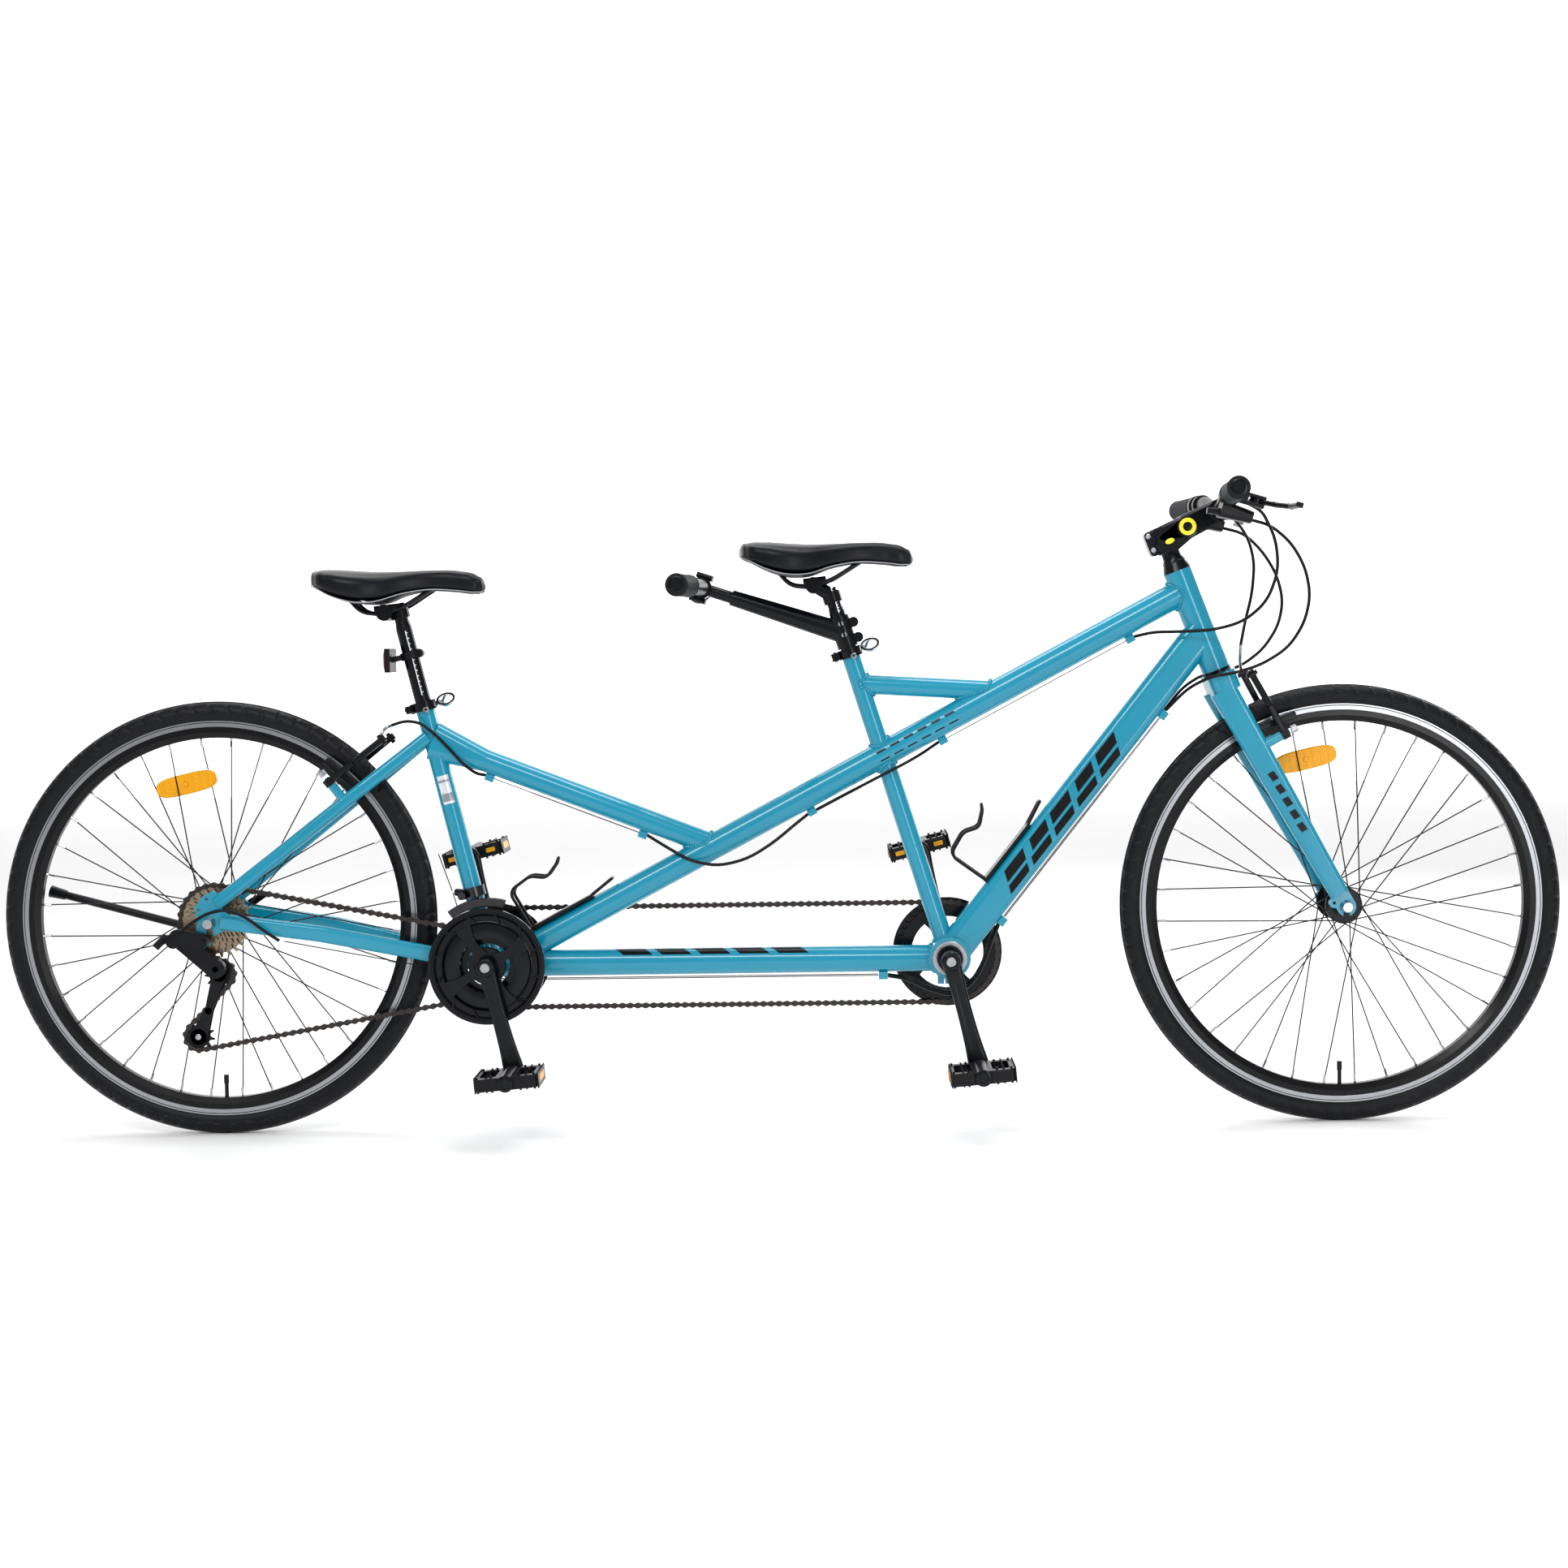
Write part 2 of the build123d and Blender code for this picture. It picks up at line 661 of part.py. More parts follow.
# The cage swings until the chain is a whole, even number of links long.
drive_links = 2 * round(route_length(drive_route_with(0)) / chain_pitch / 2)
pulley_shift = 0.0
for attempt in range(30):
    spare = drive_links * chain_pitch - route_length(drive_route_with(pulley_shift))
    pulley_shift -= spare / 2
drive_route = drive_route_with(pulley_shift)
tension_pulley_centre = rear_hub + tension_pulley_drop + Vector(pulley_shift, 0, 0)
drive_rollers, drive_step = roller_points(drive_route, drive_links)
print("drive chain links", drive_links, "pitch", round(drive_step, 4), "tension pulley", tension_pulley_centre)
print("timing chain pitch", round(timing_step, 4))

save(chain(timing_route, timing_links, timing_y), "timing_chain")
save(chain(drive_route, drive_links, chain_y), "drive_chain")

# Chainrings: three toothed rings and the guard outside them.
ring_spacing = 6.0
ring_bore = 34.0
guard_radius = 92.0
small_phase = tooth_phase(drive_rollers, 3, rear_bracket, small_ring_teeth)
with BuildPart() as guard:
    guard_section = [(-54.5, 70), (-54.5, guard_radius), (-61, guard_radius), (-61, 84), (-57, 80), (-57, 70)]
    add(turned(guard_section, rear_bracket))
spider_near = -50.0
with BuildPart() as rings:
    add(toothed_ring(rear_bracket, chain_y, small_ring_teeth, small_phase, ring_bore))
    add(toothed_ring(rear_bracket, chain_y - ring_spacing, 34, 0.0, 50))
    add(toothed_ring(rear_bracket, chain_y - 2 * ring_spacing, 42, 0.0, 62))
    for ring_y, bolt_reach in ((chain_y, 39), (chain_y - ring_spacing, 57), (chain_y - 2 * ring_spacing, 66)):
        for k in range(4):
            bolt_angle = radians(31 + 90 * k)
            bolt = rear_bracket + Vector(bolt_reach * cos(bolt_angle), 0, bolt_reach * sin(bolt_angle))
            add(rod(bolt + Vector(0, ring_y, 0), bolt + Vector(0, spider_near, 0), 3))
save(Compound(children=list(rings.part.solids()) + [guard.part.solid()]), "chainrings")


def timing_ring(centre, wheel_number, name):
    phase = tooth_phase(timing_rollers, wheel_number, centre, timing_teeth)
    with BuildPart() as shield:
        add(turned([(54, 58), (54, 88), (57, 88), (57, 83), (55.8, 80), (55.8, 58)], centre))
    ring = toothed_ring(centre, timing_y, timing_teeth, phase, 58)
    save(Compound(children=[ring.solid(), shield.part.solid()]), name)


timing_ring(rear_bracket, 0, "rear_timing_ring")
timing_ring(front_bracket, 1, "front_timing_ring")


# ---------------------------------------------------------------- cranks
def crank_arm(centre, hand):
    """Arm with a round boss at the spindle and a round end at the pedal."""
    swing = Vector(sin(crank_lean), 0, -cos(crank_lean)) * crank_length * (1 if hand < 0 else -1)
    inner = 63.0
    outer = 77.0
    plane_y = -inner if hand < 0 else outer
    with BuildPart() as piece:
        with BuildSketch(side_plane(plane_y, centre)):
            Circle(14.5)
            with Locations((swing.X, swing.Z)):
                Circle(14.0)
            make_hull()
            with Locations((swing.X, swing.Z)):
                Circle(7.0 + running_clearance, mode=Mode.SUBTRACT)
        extrude(amount=outer - inner)
        boss_in = Vector(centre.X, hand * 44, centre.Z)
        add(rod(boss_in, boss_in + Vector(0, hand * 36, 0), 15.5))
        add(rod(boss_in, boss_in + Vector(0, hand * 26, 0), spindle_radius), mode=Mode.SUBTRACT)
    return piece.part, centre + swing


def spider(centre, near_y, far_y, reach, lean):
    """Four arms that carry the rings on the crank's boss."""
    with BuildPart() as piece:
        with BuildSketch(side_plane(near_y, centre)):
            Circle(24)
            with PolarLocations(0, 4, start_angle=lean):
                with Locations((reach / 2 + 5, 0)):
                    RectangleRounded(reach - 10, 18, 5)
            Circle(15.5, mode=Mode.SUBTRACT)
        extrude(amount=near_y - far_y)
    return piece.part


def crankset(centre, driven, name):
    pedal_spots = []
    arms = []
    for hand in (-1, 1):
        arm, pedal = crank_arm(centre, hand)
        with BuildPart() as joined:
            add(arm)
            if hand < 0 and driven:
                add(spider(centre, spider_near, -54.5, 78, 31))
            if hand > 0:
                add(spider(centre, 53.8, 49.2, 66, 31))
        arms.append(joined.part.solid())
        pedal_spots.append(pedal)
    spindle_end = Vector(0, 70, 0)
    with BuildPart() as spindle:
        add(rod(centre - spindle_end, centre + spindle_end, spindle_radius))
    save(Compound(children=arms + [spindle.part.solid()]), name)
    return pedal_spots


stoker_pedal_spots = crankset(rear_bracket, True, "stoker_cranks")
captain_pedal_spots = crankset(front_bracket, False, "captain_cranks")


def pedal(spot, hand, lift, name):
    """Platform pedal on its own axle, turned a little about it."""
    start = spot + Vector(0, hand * 77.4, 0)
    ahead = Vector(cos(lift), 0, sin(lift))
    up = Vector(-sin(lift), 0, cos(lift))
    near = spot + Vector(0, hand * 86, 0)
    far = spot + Vector(0, hand * 180, 0)
    middle = spot + Vector(0, hand * 133, 0)
    with BuildPart() as piece:
        with BuildSketch(Plane(origin=middle - up * 10, x_dir=cross_axis, z_dir=up)):
            RectangleRounded(88, 100, 12)
            with Locations((0, 29), (0, -29)):
                RectangleRounded(62, 26, 6, mode=Mode.SUBTRACT)
        extrude(amount=20)
        add(rod(near, far, 13))
        add(rod(spot + Vector(0, hand * 62, 0), near, 7.0))
        for u in (-44, -22, 22, 44):
            for y in (-36, 36):
                pin = middle + ahead * u + Vector(0, y, 0)
                add(rod(pin - up * 13, pin + up * 13, 1.8))
    save(piece.part, name)


near_lift = radians(5)
far_lift = radians(14)
pedal(stoker_pedal_spots[0], -1, near_lift, "stoker_pedal_right")
pedal(stoker_pedal_spots[1], 1, far_lift, "stoker_pedal_left")
pedal(captain_pedal_spots[0], -1, near_lift, "captain_pedal_right")
pedal(captain_pedal_spots[1], 1, far_lift, "captain_pedal_left")
print("pedals", stoker_pedal_spots, captain_pedal_spots)

# ---------------------------------------------------------------- wheels
tyre_middle = hub_height - tyre_section


def wheel(centre, tag, flange_near, flange_far, body):
    """Tyre, rim with valve, crossed spokes and hub; body is the hub's outline."""
    section = Plane(origin=centre, x_dir=(0, 1, 0), z_dir=(1, 0, 0))
    axis = Axis(centre, cross_axis)
    with BuildPart() as tyre:
        with BuildSketch(section):
            with Locations((0, tyre_middle)):
                Circle(tyre_section)
            with Locations((0, tyre_middle - 1.5)):
                Circle(tyre_section - tyre_wall, mode=Mode.SUBTRACT)
            with Locations((0, 300)):
                Rectangle(60, 26, mode=Mode.SUBTRACT)
            with Locations((20.1, 307.3), (-20.1, 307.3)):
                Rectangle(20, 20, mode=Mode.SUBTRACT)
        revolve(axis=axis)
    save(tyre.part.solids().sort_by(SortBy.VOLUME)[-1], f"{tag}_tyre")
    half = rim_half_width
    with BuildPart() as rim:
        with BuildSketch(section):
            with BuildLine():
                Polyline(
                    (-half, rim_outer), (-half + 1.5, rim_outer), (-half + 1.5, 299), (-5, 293), (5, 293),
                    (half - 1.5, 299), (half - 1.5, rim_outer), (half, rim_outer), (half, 298),
                    (6, rim_inner), (-6, rim_inner), (-half, 298), close=True,
                )
            make_face()
        revolve(axis=axis)
    valve_foot = centre - Vector(0, 0, rim_inner - 0.1)
    with BuildPart() as valve:
        add(rod(valve_foot, valve_foot + Vector(0, 0, 30), 3.2))
        add(rod(valve_foot + Vector(0, 0, 22), valve_foot + Vector(0, 0, 36), 4.0))
    save(Compound(children=[rim.part.solid(), valve.part.solid()]), f"{tag}_rim")
    spokes = []
    crossing = 3 * 2 * pi / spokes_per_side
    for hand, flange_y in ((-1, flange_near), (1, flange_far)):
        for k in range(spokes_per_side):
            rim_angle = radians(5 + 10 * (2 * k + (hand > 0)))
            lean = 1 if k % 2 else -1
            hub_angle = rim_angle + lean * crossing
            start = centre + Vector(
                27 * cos(hub_angle), flange_y + lean * (1.5 + spoke_radius + 0.5), 27 * sin(hub_angle)
            )
            end = centre + Vector(
                (rim_inner - 0.2) * cos(rim_angle), hand * 2.5 + lean * 0.9, (rim_inner - 0.2) * sin(rim_angle)
            )
            spokes.append(rod(start, end, spoke_radius).solid())
    save(Compound(children=spokes), f"{tag}_spokes")
    save(turned(body, centre), f"{tag}_hub")


front_bore = front_axle_radius + running_clearance
front_body = [
    (-47.5, front_bore), (-47.5, 9), (-40, 13), (-36.5, 14), (-36.5, flange_radius), (-33.5, flange_radius),
    (-33.5, 14), (-20, 12), (20, 12), (33.5, 14), (33.5, flange_radius), (36.5, flange_radius), (36.5, 14),
    (40, 13), (47.5, 9), (47.5, front_bore),
]
rear_bore = axle_radius + running_clearance
rear_body = [
    (-30.5, rear_bore), (-30.5, 18), (-29.5, flange_radius), (-26.5, flange_radius), (-26.5, 18), (-20, 15),
    (26, 15), (34.5, 16), (34.5, flange_radius), (37.5, flange_radius), (37.5, 16), (60, 12), (66, 10),
    (66, rear_bore),
]
wheel(front_hub, "front", -35, 35, front_body)
wheel(rear_hub, "rear", -28, 36, rear_body)


def quick_axle(centre, radius, inner, hub_right, hub_left, name):
    """Axle with its cones against the dropouts, and the skewer's nut on the right."""
    outer = inner + dropout_thickness
    with BuildPart() as piece:
        add(rod(centre - Vector(0, outer + 1, 0), centre + Vector(0, outer + 1, 0), radius, 2.6))
        add(rod(centre - Vector(0, inner, 0), centre - Vector(0, hub_right + 0.4, 0), radius + 3.5, radius - 0.1))
        add(rod(centre + Vector(0, hub_left + 0.4, 0), centre + Vector(0, inner, 0), radius + 3.5, radius - 0.1))
        add(cone(centre - Vector(0, outer, 0), centre - Vector(0, outer + 12, 0), 10.5, 7.5))
    save(piece.part, name)


quick_axle(front_hub, front_axle_radius, front_dropout_inner, 47.5, 47.5, "front_axle")
quick_axle(rear_hub, axle_radius, rear_dropout_inner, 67.2, 66, "rear_axle")


def axle_lever(centre, inner, lean, name):
    """Cam and curved handle of a quick release, on the left end of an axle."""
    outer = inner + dropout_thickness
    handle = Vector(sin(lean), 0, cos(lean))
    start = centre + Vector(0, outer + 2.4, 0)
    with BuildPart() as piece:
        add(rod(start, start + Vector(0, 12, 0), 9.5))
        add(rod(start - Vector(0, 20, 0), start + Vector(0, 2, 0), 2.5))
        add(bar(start + Vector(0, 7, 0), start + Vector(0, 9, 0) + handle * 38, 6, 13, 2))
        add(bar(start + Vector(0, 9, 0) + handle * 37, start + Vector(0, 11, 0) + handle * 60, 6, 13, 2, 5, 9))
    save(piece.part, name)


front_lever_lean = radians(-15)
rear_lever_lean = radians(60)
axle_lever(front_hub, front_dropout_inner, front_lever_lean, "front_axle_lever")
axle_lever(rear_hub, rear_dropout_inner, rear_lever_lean, "rear_axle_lever")

# Cassette: seven sprockets on one freewheel body.
sprocket_counts = (28, 24, 21, 18, 16, 14, 12)
sprocket_spacing = 4.8
big_phase = tooth_phase(drive_rollers, 0, rear_hub, sprocket_teeth)
with BuildPart() as cassette:
    add(turned([(-31.6, rear_bore), (-31.6, 17), (-66.8, 17), (-66.8, rear_bore)], rear_hub))
    for number, teeth in enumerate(sprocket_counts):
        phase = big_phase if number == 0 else 0.0
        add(toothed_ring(rear_hub, chain_y - number * sprocket_spacing, teeth, phase, 16.0, 1.8))
save(cassette.part, "cassette")

# ---------------------------------------------------------------- gears
cage_pivot = guide_pulley_centre + Vector(0, 0, 12)
guide_phase = tooth_phase(drive_rollers, 1, guide_pulley_centre, pulley_teeth)
tension_phase = tooth_phase(drive_rollers, 2, tension_pulley_centre, pulley_teeth)
pulley_bolt = 3.0
cage_gap = 5.4
cage_plate = 1.6


def pulley(centre, phase, name):
    with BuildPart() as piece:
        add(toothed_ring(centre, chain_y, pulley_teeth, phase, pulley_bolt + running_clearance, 2.4))
        hub = [(chain_y - 4.6, pulley_bolt + running_clearance), (chain_y - 4.6, 8), (chain_y + 4.6, 8),
               (chain_y + 4.6, pulley_bolt + running_clearance)]
        add(turned(hub, centre))
    save(piece.part, name)


pulley(guide_pulley_centre, guide_phase, "guide_pulley")
pulley(tension_pulley_centre, tension_phase, "tension_pulley")

knuckle_y = -66.0
with BuildPart() as derailleur_cage:
    for inner_y in (chain_y - cage_gap, chain_y + cage_gap + cage_plate):
        with BuildSketch(side_plane(inner_y)):
            with Locations((guide_pulley_centre.X, guide_pulley_centre.Z), (cage_pivot.X, cage_pivot.Z)):
                Circle(12)
            with Locations((tension_pulley_centre.X, tension_pulley_centre.Z)):
                Circle(11)
            make_hull()
        extrude(amount=cage_plate)
    for centre in (guide_pulley_centre, tension_pulley_centre):
        bolt = Vector(0, cage_gap + cage_plate + 1, 0)
        middle = Vector(centre.X, chain_y, centre.Z)
        add(rod(middle - bolt, middle + bolt, pulley_bolt))
    outer_face = chain_y - cage_gap - cage_plate
    add(rod((cage_pivot.X, outer_face, cage_pivot.Z), (cage_pivot.X, knuckle_y + 1, cage_pivot.Z), 5))
save(derailleur_cage.part, "derailleur_cage")

with BuildPart() as rear_derailleur:
    with BuildSketch(side_plane(-77)):
        with Locations((-902, 321)):
            Circle(12)
        with Locations((-938, 328)):
            Circle(12)
        make_hull()
    extrude(amount=16)
    with BuildSketch(side_plane(-66)):
        with Locations((-944, 322)):
            Circle(13)
        with Locations((cage_pivot.X, cage_pivot.Z)):
            Circle(15)
        make_hull()
        with Locations((cage_pivot.X, cage_pivot.Z)):
            Circle(5 + running_clearance, mode=Mode.SUBTRACT)
    extrude(amount=-14)
    with BuildSketch(side_plane(-64)):
        with Locations((-944, 322)):
            Circle(12)
    extrude(amount=29)
    add(rod((-955, -86, 330), (-972, -92, 312), 6))
    add(rod((-899, -68, 320), (-899, -96, 320), 3.9))
save(rear_derailleur.part, "rear_derailleur")

fd_middle = rear_bracket + stoker_up * 116
fd_ahead = Vector(stoker_up.Z, 0, -stoker_up.X)
with BuildPart() as front_derailleur:
    add(rod(fd_middle - stoker_up * 8, fd_middle + stoker_up * 8, seat_tube_radius + 4, seat_tube_radius))
    add(rod(fd_middle + Vector(-26, -6, 0), fd_middle + Vector(-10, -16, 0), 6))
    add(rod(fd_middle + Vector(-14, -12, -4), fd_middle + Vector(-14, -34, -4), 6))
    for inner_y in (chain_y + 5.6 + 1.2, chain_y - 5.6):
        with BuildSketch(side_plane(inner_y, rear_bracket)):
            with BuildLine():
                outer_bow = CenterArc((0, 0), 106, 74, 52)
                inner_bow = CenterArc((0, 0), 92, 74, 52)
                Line(outer_bow @ 0, inner_bow @ 0)
                Line(outer_bow @ 1, inner_bow @ 1)
            make_face()
        extrude(amount=1.2)
    bridge_angle = radians(122)
    bridge = rear_bracket + Vector(102 * cos(bridge_angle), 0, 102 * sin(bridge_angle))
    add(rod(bridge + Vector(0, chain_y - 6.4, 0), bridge + Vector(0, chain_y + 6.4, 0), 3))
    top_angle = radians(100)
    carrier = rear_bracket + Vector(101 * cos(top_angle), 0, 101 * sin(top_angle))
    add(rod(carrier + Vector(0, chain_y - 6.4, 0), carrier + Vector(0, -14, 4), 3.5))
save(cut(front_derailleur.part, stoker_solid), "front_derailleur")

# Kickstand: a single leg that folds back along the left side.
stand_back = Vector(-290, 0, 79.5).normalized()
stand_length = 300.0
with BuildPart() as kickstand:
    stand_foot = stand_pivot + stand_back * stand_length
    add(rod(stand_pivot + Vector(0, -10.5, 0), stand_pivot + Vector(0, 9, 0), 3.4))
    add(rod(stand_pivot + Vector(0, -5.6, 0), stand_pivot + Vector(0, 9, 0), 13))
    add(rod(stand_pivot, stand_pivot + stand_back * 84, 8))
    add(rod(stand_pivot + stand_back * 82, stand_foot - stand_back * 24, 6.5))
    add(cone(stand_foot - stand_back * 26, stand_foot, 8, 10))
save(kickstand.part, "kickstand")

# ---------------------------------------------------------------- fork and front brake
crown_top = on_head(-lower_cup_height - 0.6)
head_ahead = Vector(head_up.Z, 0, -head_up.X)


def fork_leg():
    with BuildPart() as piece:
        add(bar(front_leg_top, front_leg_bottom, 22, 44, 9, 14, 30))
        add(rod(front_boss, front_boss + leg_ahead * (front_arm_offset - arm_half - 1), 7.5))
        add(rod(front_boss, front_boss + leg_ahead * (front_arm_offset + arm_half + 2), stud_radius))
        with BuildSketch(side_plane(-front_dropout_inner, front_hub)):
            Circle(15)
            with Locations((-8, 14)):
                Circle(15)
            make_hull()
            with Locations((-19, 6)):
                Circle(8)
            Circle(front_axle_radius, mode=Mode.SUBTRACT)
            with Locations((0, -10)):
                Rectangle(2 * front_axle_radius, 20, mode=Mode.SUBTRACT)
            with Locations((-19, 6)):
                Circle(eyelet_radius, mode=Mode.SUBTRACT)
        extrude(amount=dropout_thickness)
    return piece.part


leg = fork_leg()
with BuildPart() as fork:
    add(leg)
    add(mirrored(leg))
    with BuildSketch(Plane(origin=crown_top - head_up * 30, x_dir=cross_axis, z_dir=head_up)):
        RectangleRounded(98, 46, 16)
    extrude(amount=30)
    add(rod(crown_top - head_up * 12, on_head(232), steerer_radius, steerer_radius - 2.4))
save(fork.part, "fork")

# Spacer, adjustable stem and handlebar.
stem_low = 187.5
stem_high = 229.0
stem_pivot = Vector(652, 0, 944)
bar_middle = Vector(703, 0, 969)
bar_radius = 12.7
grip_radius = 16.0
stem_reach = (bar_middle - stem_pivot).normalized()
with BuildPart() as spacer:
    add(rod(on_head(head_length + upper_cup_height + 0.5), on_head(stem_low - 1), 17.5, steerer_radius))
with BuildPart() as stem_base:
    add(rod(on_head(stem_low - 0.5), on_head(stem_high), 18.5))
    low = on_head(stem_low + 20) - head_ahead * 24
    add(bar(low - head_up * 17, low + head_up * 17, 26, 15, 5))
    add(rod(stem_pivot - Vector(0, 11, 0), stem_pivot + Vector(0, 11, 0), 14))
    add(bar(on_head(stem_low + 22), stem_pivot, 22, 34, 5, 22, 24))
    add(rod(on_head(stem_low - 1), on_head(240), steerer_radius), mode=Mode.SUBTRACT)
with BuildPart() as stem_arm:
    for hand in (-1, 1):
        cheek = stem_pivot + Vector(0, hand * 14.2, 0)
        knee = stem_pivot + stem_reach * 34 + Vector(0, hand * 14.2, 0)
        add(rod(stem_pivot + Vector(0, hand * 11.2, 0), stem_pivot + Vector(0, hand * 17.5, 0), 14.5))
        add(bar(cheek, knee, 6, 26, 2))
    add(bar(stem_pivot + stem_reach * 20, bar_middle - stem_reach * 10, 34, 24, 6, 34, 30))
    add(rod(bar_middle - Vector(0, 20, 0), bar_middle + Vector(0, 20, 0), 18))
    add(rod(stem_pivot - Vector(0, 11.1, 0), stem_pivot + Vector(0, 11.1, 0), 14.6), mode=Mode.SUBTRACT)
    add(rod(bar_middle - Vector(0, 30, 0), bar_middle + Vector(0, 30, 0), bar_radius), mode=Mode.SUBTRACT)
with BuildPart() as stem_cap:
    add(rod(on_head(stem_high + 0.1), on_head(stem_high + 5), 17.5))
    add(rod(on_head(stem_high), on_head(233), steerer_radius), mode=Mode.SUBTRACT)
stem_arm_solid = cut(stem_arm.part, stem_base.part, stem_cap.part)
stem_pieces = [spacer.part.solid(), stem_base.part.solid(), stem_arm_solid, stem_cap.part.solid()]
save(Compound(children=stem_pieces), "stem")

bar_side = [(703, 0, 969), (703, 45, 969), (701, 105, 985), (684.6, 299.8, 985.8)]
with BuildPart() as handlebar:
    half_bar = bent_rod(bar_side, [45, 60], bar_radius - 0.02)
    add(half_bar)
    add(mirrored(half_bar))
save(handlebar.part, "handlebar")

grip_along = (Vector(*bar_side[3]) - Vector(*bar_side[2])).normalized()
grip_end = Vector(*bar_side[3])
with BuildPart() as grip:
    add(rod(grip_end - grip_along * 125, grip_end + grip_along * 0.2, grip_radius, bar_radius))
left_grip = grip.part.solid()
save(Compound(children=[left_grip, mirrored(left_grip)]), "handlebar_grips")

# Brake lever bodies and gear shifters, clamped inside the grips.
forward_down = Vector(cos(radians(17)), 0, -sin(radians(17)))
lever_up = Vector(sin(radians(17)), 0, cos(radians(17)))
lever_clamp = grip_end - grip_along * 142
lever_pivot = lever_clamp + forward_down * 40 + Vector(0, -2, 0)
shifter_clamp = grip_end - grip_along * 168
pivot_radius = 2.5
with BuildPart() as lever_body:
    add(rod(lever_clamp - grip_along * 8, lever_clamp + grip_along * 8, 17.5))
    add(bar(lever_clamp + forward_down * 12, lever_clamp + forward_down * 52, 24, 18, 5))
    barrel = lever_clamp + forward_down * 34
    add(rod(barrel + Vector(0, -10, 0), barrel + forward_down * 4 + Vector(0, -30, 0), 5))
    add(rod(lever_pivot - lever_up * 4, lever_pivot + lever_up * 4, 20), mode=Mode.SUBTRACT)
    add(rod(lever_pivot - lever_up * 8, lever_pivot + lever_up * 8, pivot_radius))
    add(rod(lever_clamp - grip_along * 30, lever_clamp + grip_along * 30, bar_radius), mode=Mode.SUBTRACT)
with BuildPart() as shifter:
    add(rod(shifter_clamp - grip_along * 6, shifter_clamp + grip_along * 6, 16.5))
    under = shifter_clamp - lever_up * 24
    add(bar(under - forward_down * 8, under + forward_down * 42, 40, 26, 7, 30, 18))
    add(bar(under - forward_down * 26 - lever_up * 8, under - forward_down * 6 - lever_up * 4, 12, 9, 3, 16, 10))
    add(rod(shifter_clamp - grip_along * 30, shifter_clamp + grip_along * 30, bar_radius), mode=Mode.SUBTRACT)
lever_body_solid = lever_body.part.solids().sort_by(SortBy.VOLUME)[-1]
shifter_solid = shifter.part.solids().sort_by(SortBy.VOLUME)[-1]
pods = [lever_body_solid, shifter_solid, mirrored(lever_body_solid), mirrored(shifter_solid)]
save(Compound(children=pods), "control_pods")

with BuildPart() as lever_left:
    add(rod(lever_pivot - lever_up * 3.7, lever_pivot + lever_up * 3.7, 10))
    knee = lever_pivot + forward_down * 26 + Vector(0, 24, 0)
    elbow = lever_pivot + forward_down * 42 + Vector(0, 58, 0)
    tip = lever_pivot + forward_down * 45 + Vector(0, 112, 0)
    for start, end in ((lever_pivot, knee), (knee, elbow), (elbow, tip)):
        with BuildSketch(Plane(origin=start, x_dir=lever_up, z_dir=end - start)):
            RectangleRounded(7.4, 11, 3)
        extrude(amount=(end - start).length)
    for joint in (knee, elbow, tip):
        add(rod(joint - lever_up * 3.7, joint + lever_up * 3.7, 5.5))
    lever_bore = pivot_radius + running_clearance
    add(rod(lever_pivot - lever_up * 9, lever_pivot + lever_up * 9, lever_bore), mode=Mode.SUBTRACT)
save(lever_left.part, "brake_lever_left")
save(mirrored(lever_left.part), "brake_lever_right")
print("lever pivot", lever_pivot)


# Brake arms: each turns on its stud and carries a shoe beside the rim.
shoe_path = 306.0


def brake_arm(boss, along, out, offset, wheel_centre, names):
    plane_point = boss + out * offset
    top = plane_point + along * 106 + Vector(0, 4, 0)
    shoe_reach = (plane_point + along * 25 - wheel_centre)
    shoe_reach = Vector(shoe_reach.X, 0, shoe_reach.Z).normalized() * shoe_path
    shoe_middle = Vector(wheel_centre.X, plane_point.Y, wheel_centre.Z) + shoe_reach
    tangent = Vector(shoe_reach.Z, 0, -shoe_reach.X).normalized()
    shoe_y = -(rim_half_width + 2.0)
    shoe = Vector(shoe_middle.X, shoe_y - 5, shoe_middle.Z)
    with BuildPart() as piece:
        add(rod(plane_point - out * arm_half, plane_point + out * arm_half, 9))
        mid = plane_point + along * 50 + Vector(0, -3, 0)
        for start, end, width in ((plane_point, mid, 13), (mid, top, 11)):
            with BuildSketch(Plane(origin=start, x_dir=out, z_dir=end - start)):
                RectangleRounded(10, width, 3)
            extrude(amount=(end - start).length)
        add(rod(top - out * 5, top + out * 5, 7))
        add(rod(top - out * 9, top + out * 9, 3.5))
        add(rod(shoe_middle + Vector(0, -6, 0), (shoe_middle.X, shoe.Y, shoe_middle.Z), 3.2))
        with BuildSketch(Plane(origin=shoe - tangent * 34, x_dir=cross_axis, z_dir=tangent)):
            RectangleRounded(10, 12, 3)
        extrude(amount=68)
        stud_from = plane_point - out * 60
        add(rod(stud_from, plane_point + out * 60, stud_radius + running_clearance), mode=Mode.SUBTRACT)
    save(piece.part, names[0])
    save(mirrored(piece.part), names[1])


rear_names = ("rear_brake_arm_right", "rear_brake_arm_left")
front_names = ("front_brake_arm_right", "front_brake_arm_left")
brake_arm(rear_boss, seat_stay_along, seat_stay_above, rear_arm_offset, rear_hub, rear_names)
brake_arm(front_boss, leg_along, leg_ahead, front_arm_offset, front_hub, front_names)
print("rear boss", rear_boss + seat_stay_above * rear_arm_offset, "axis", seat_stay_above)
print("front boss", front_boss + leg_ahead * front_arm_offset, "axis", leg_ahead)


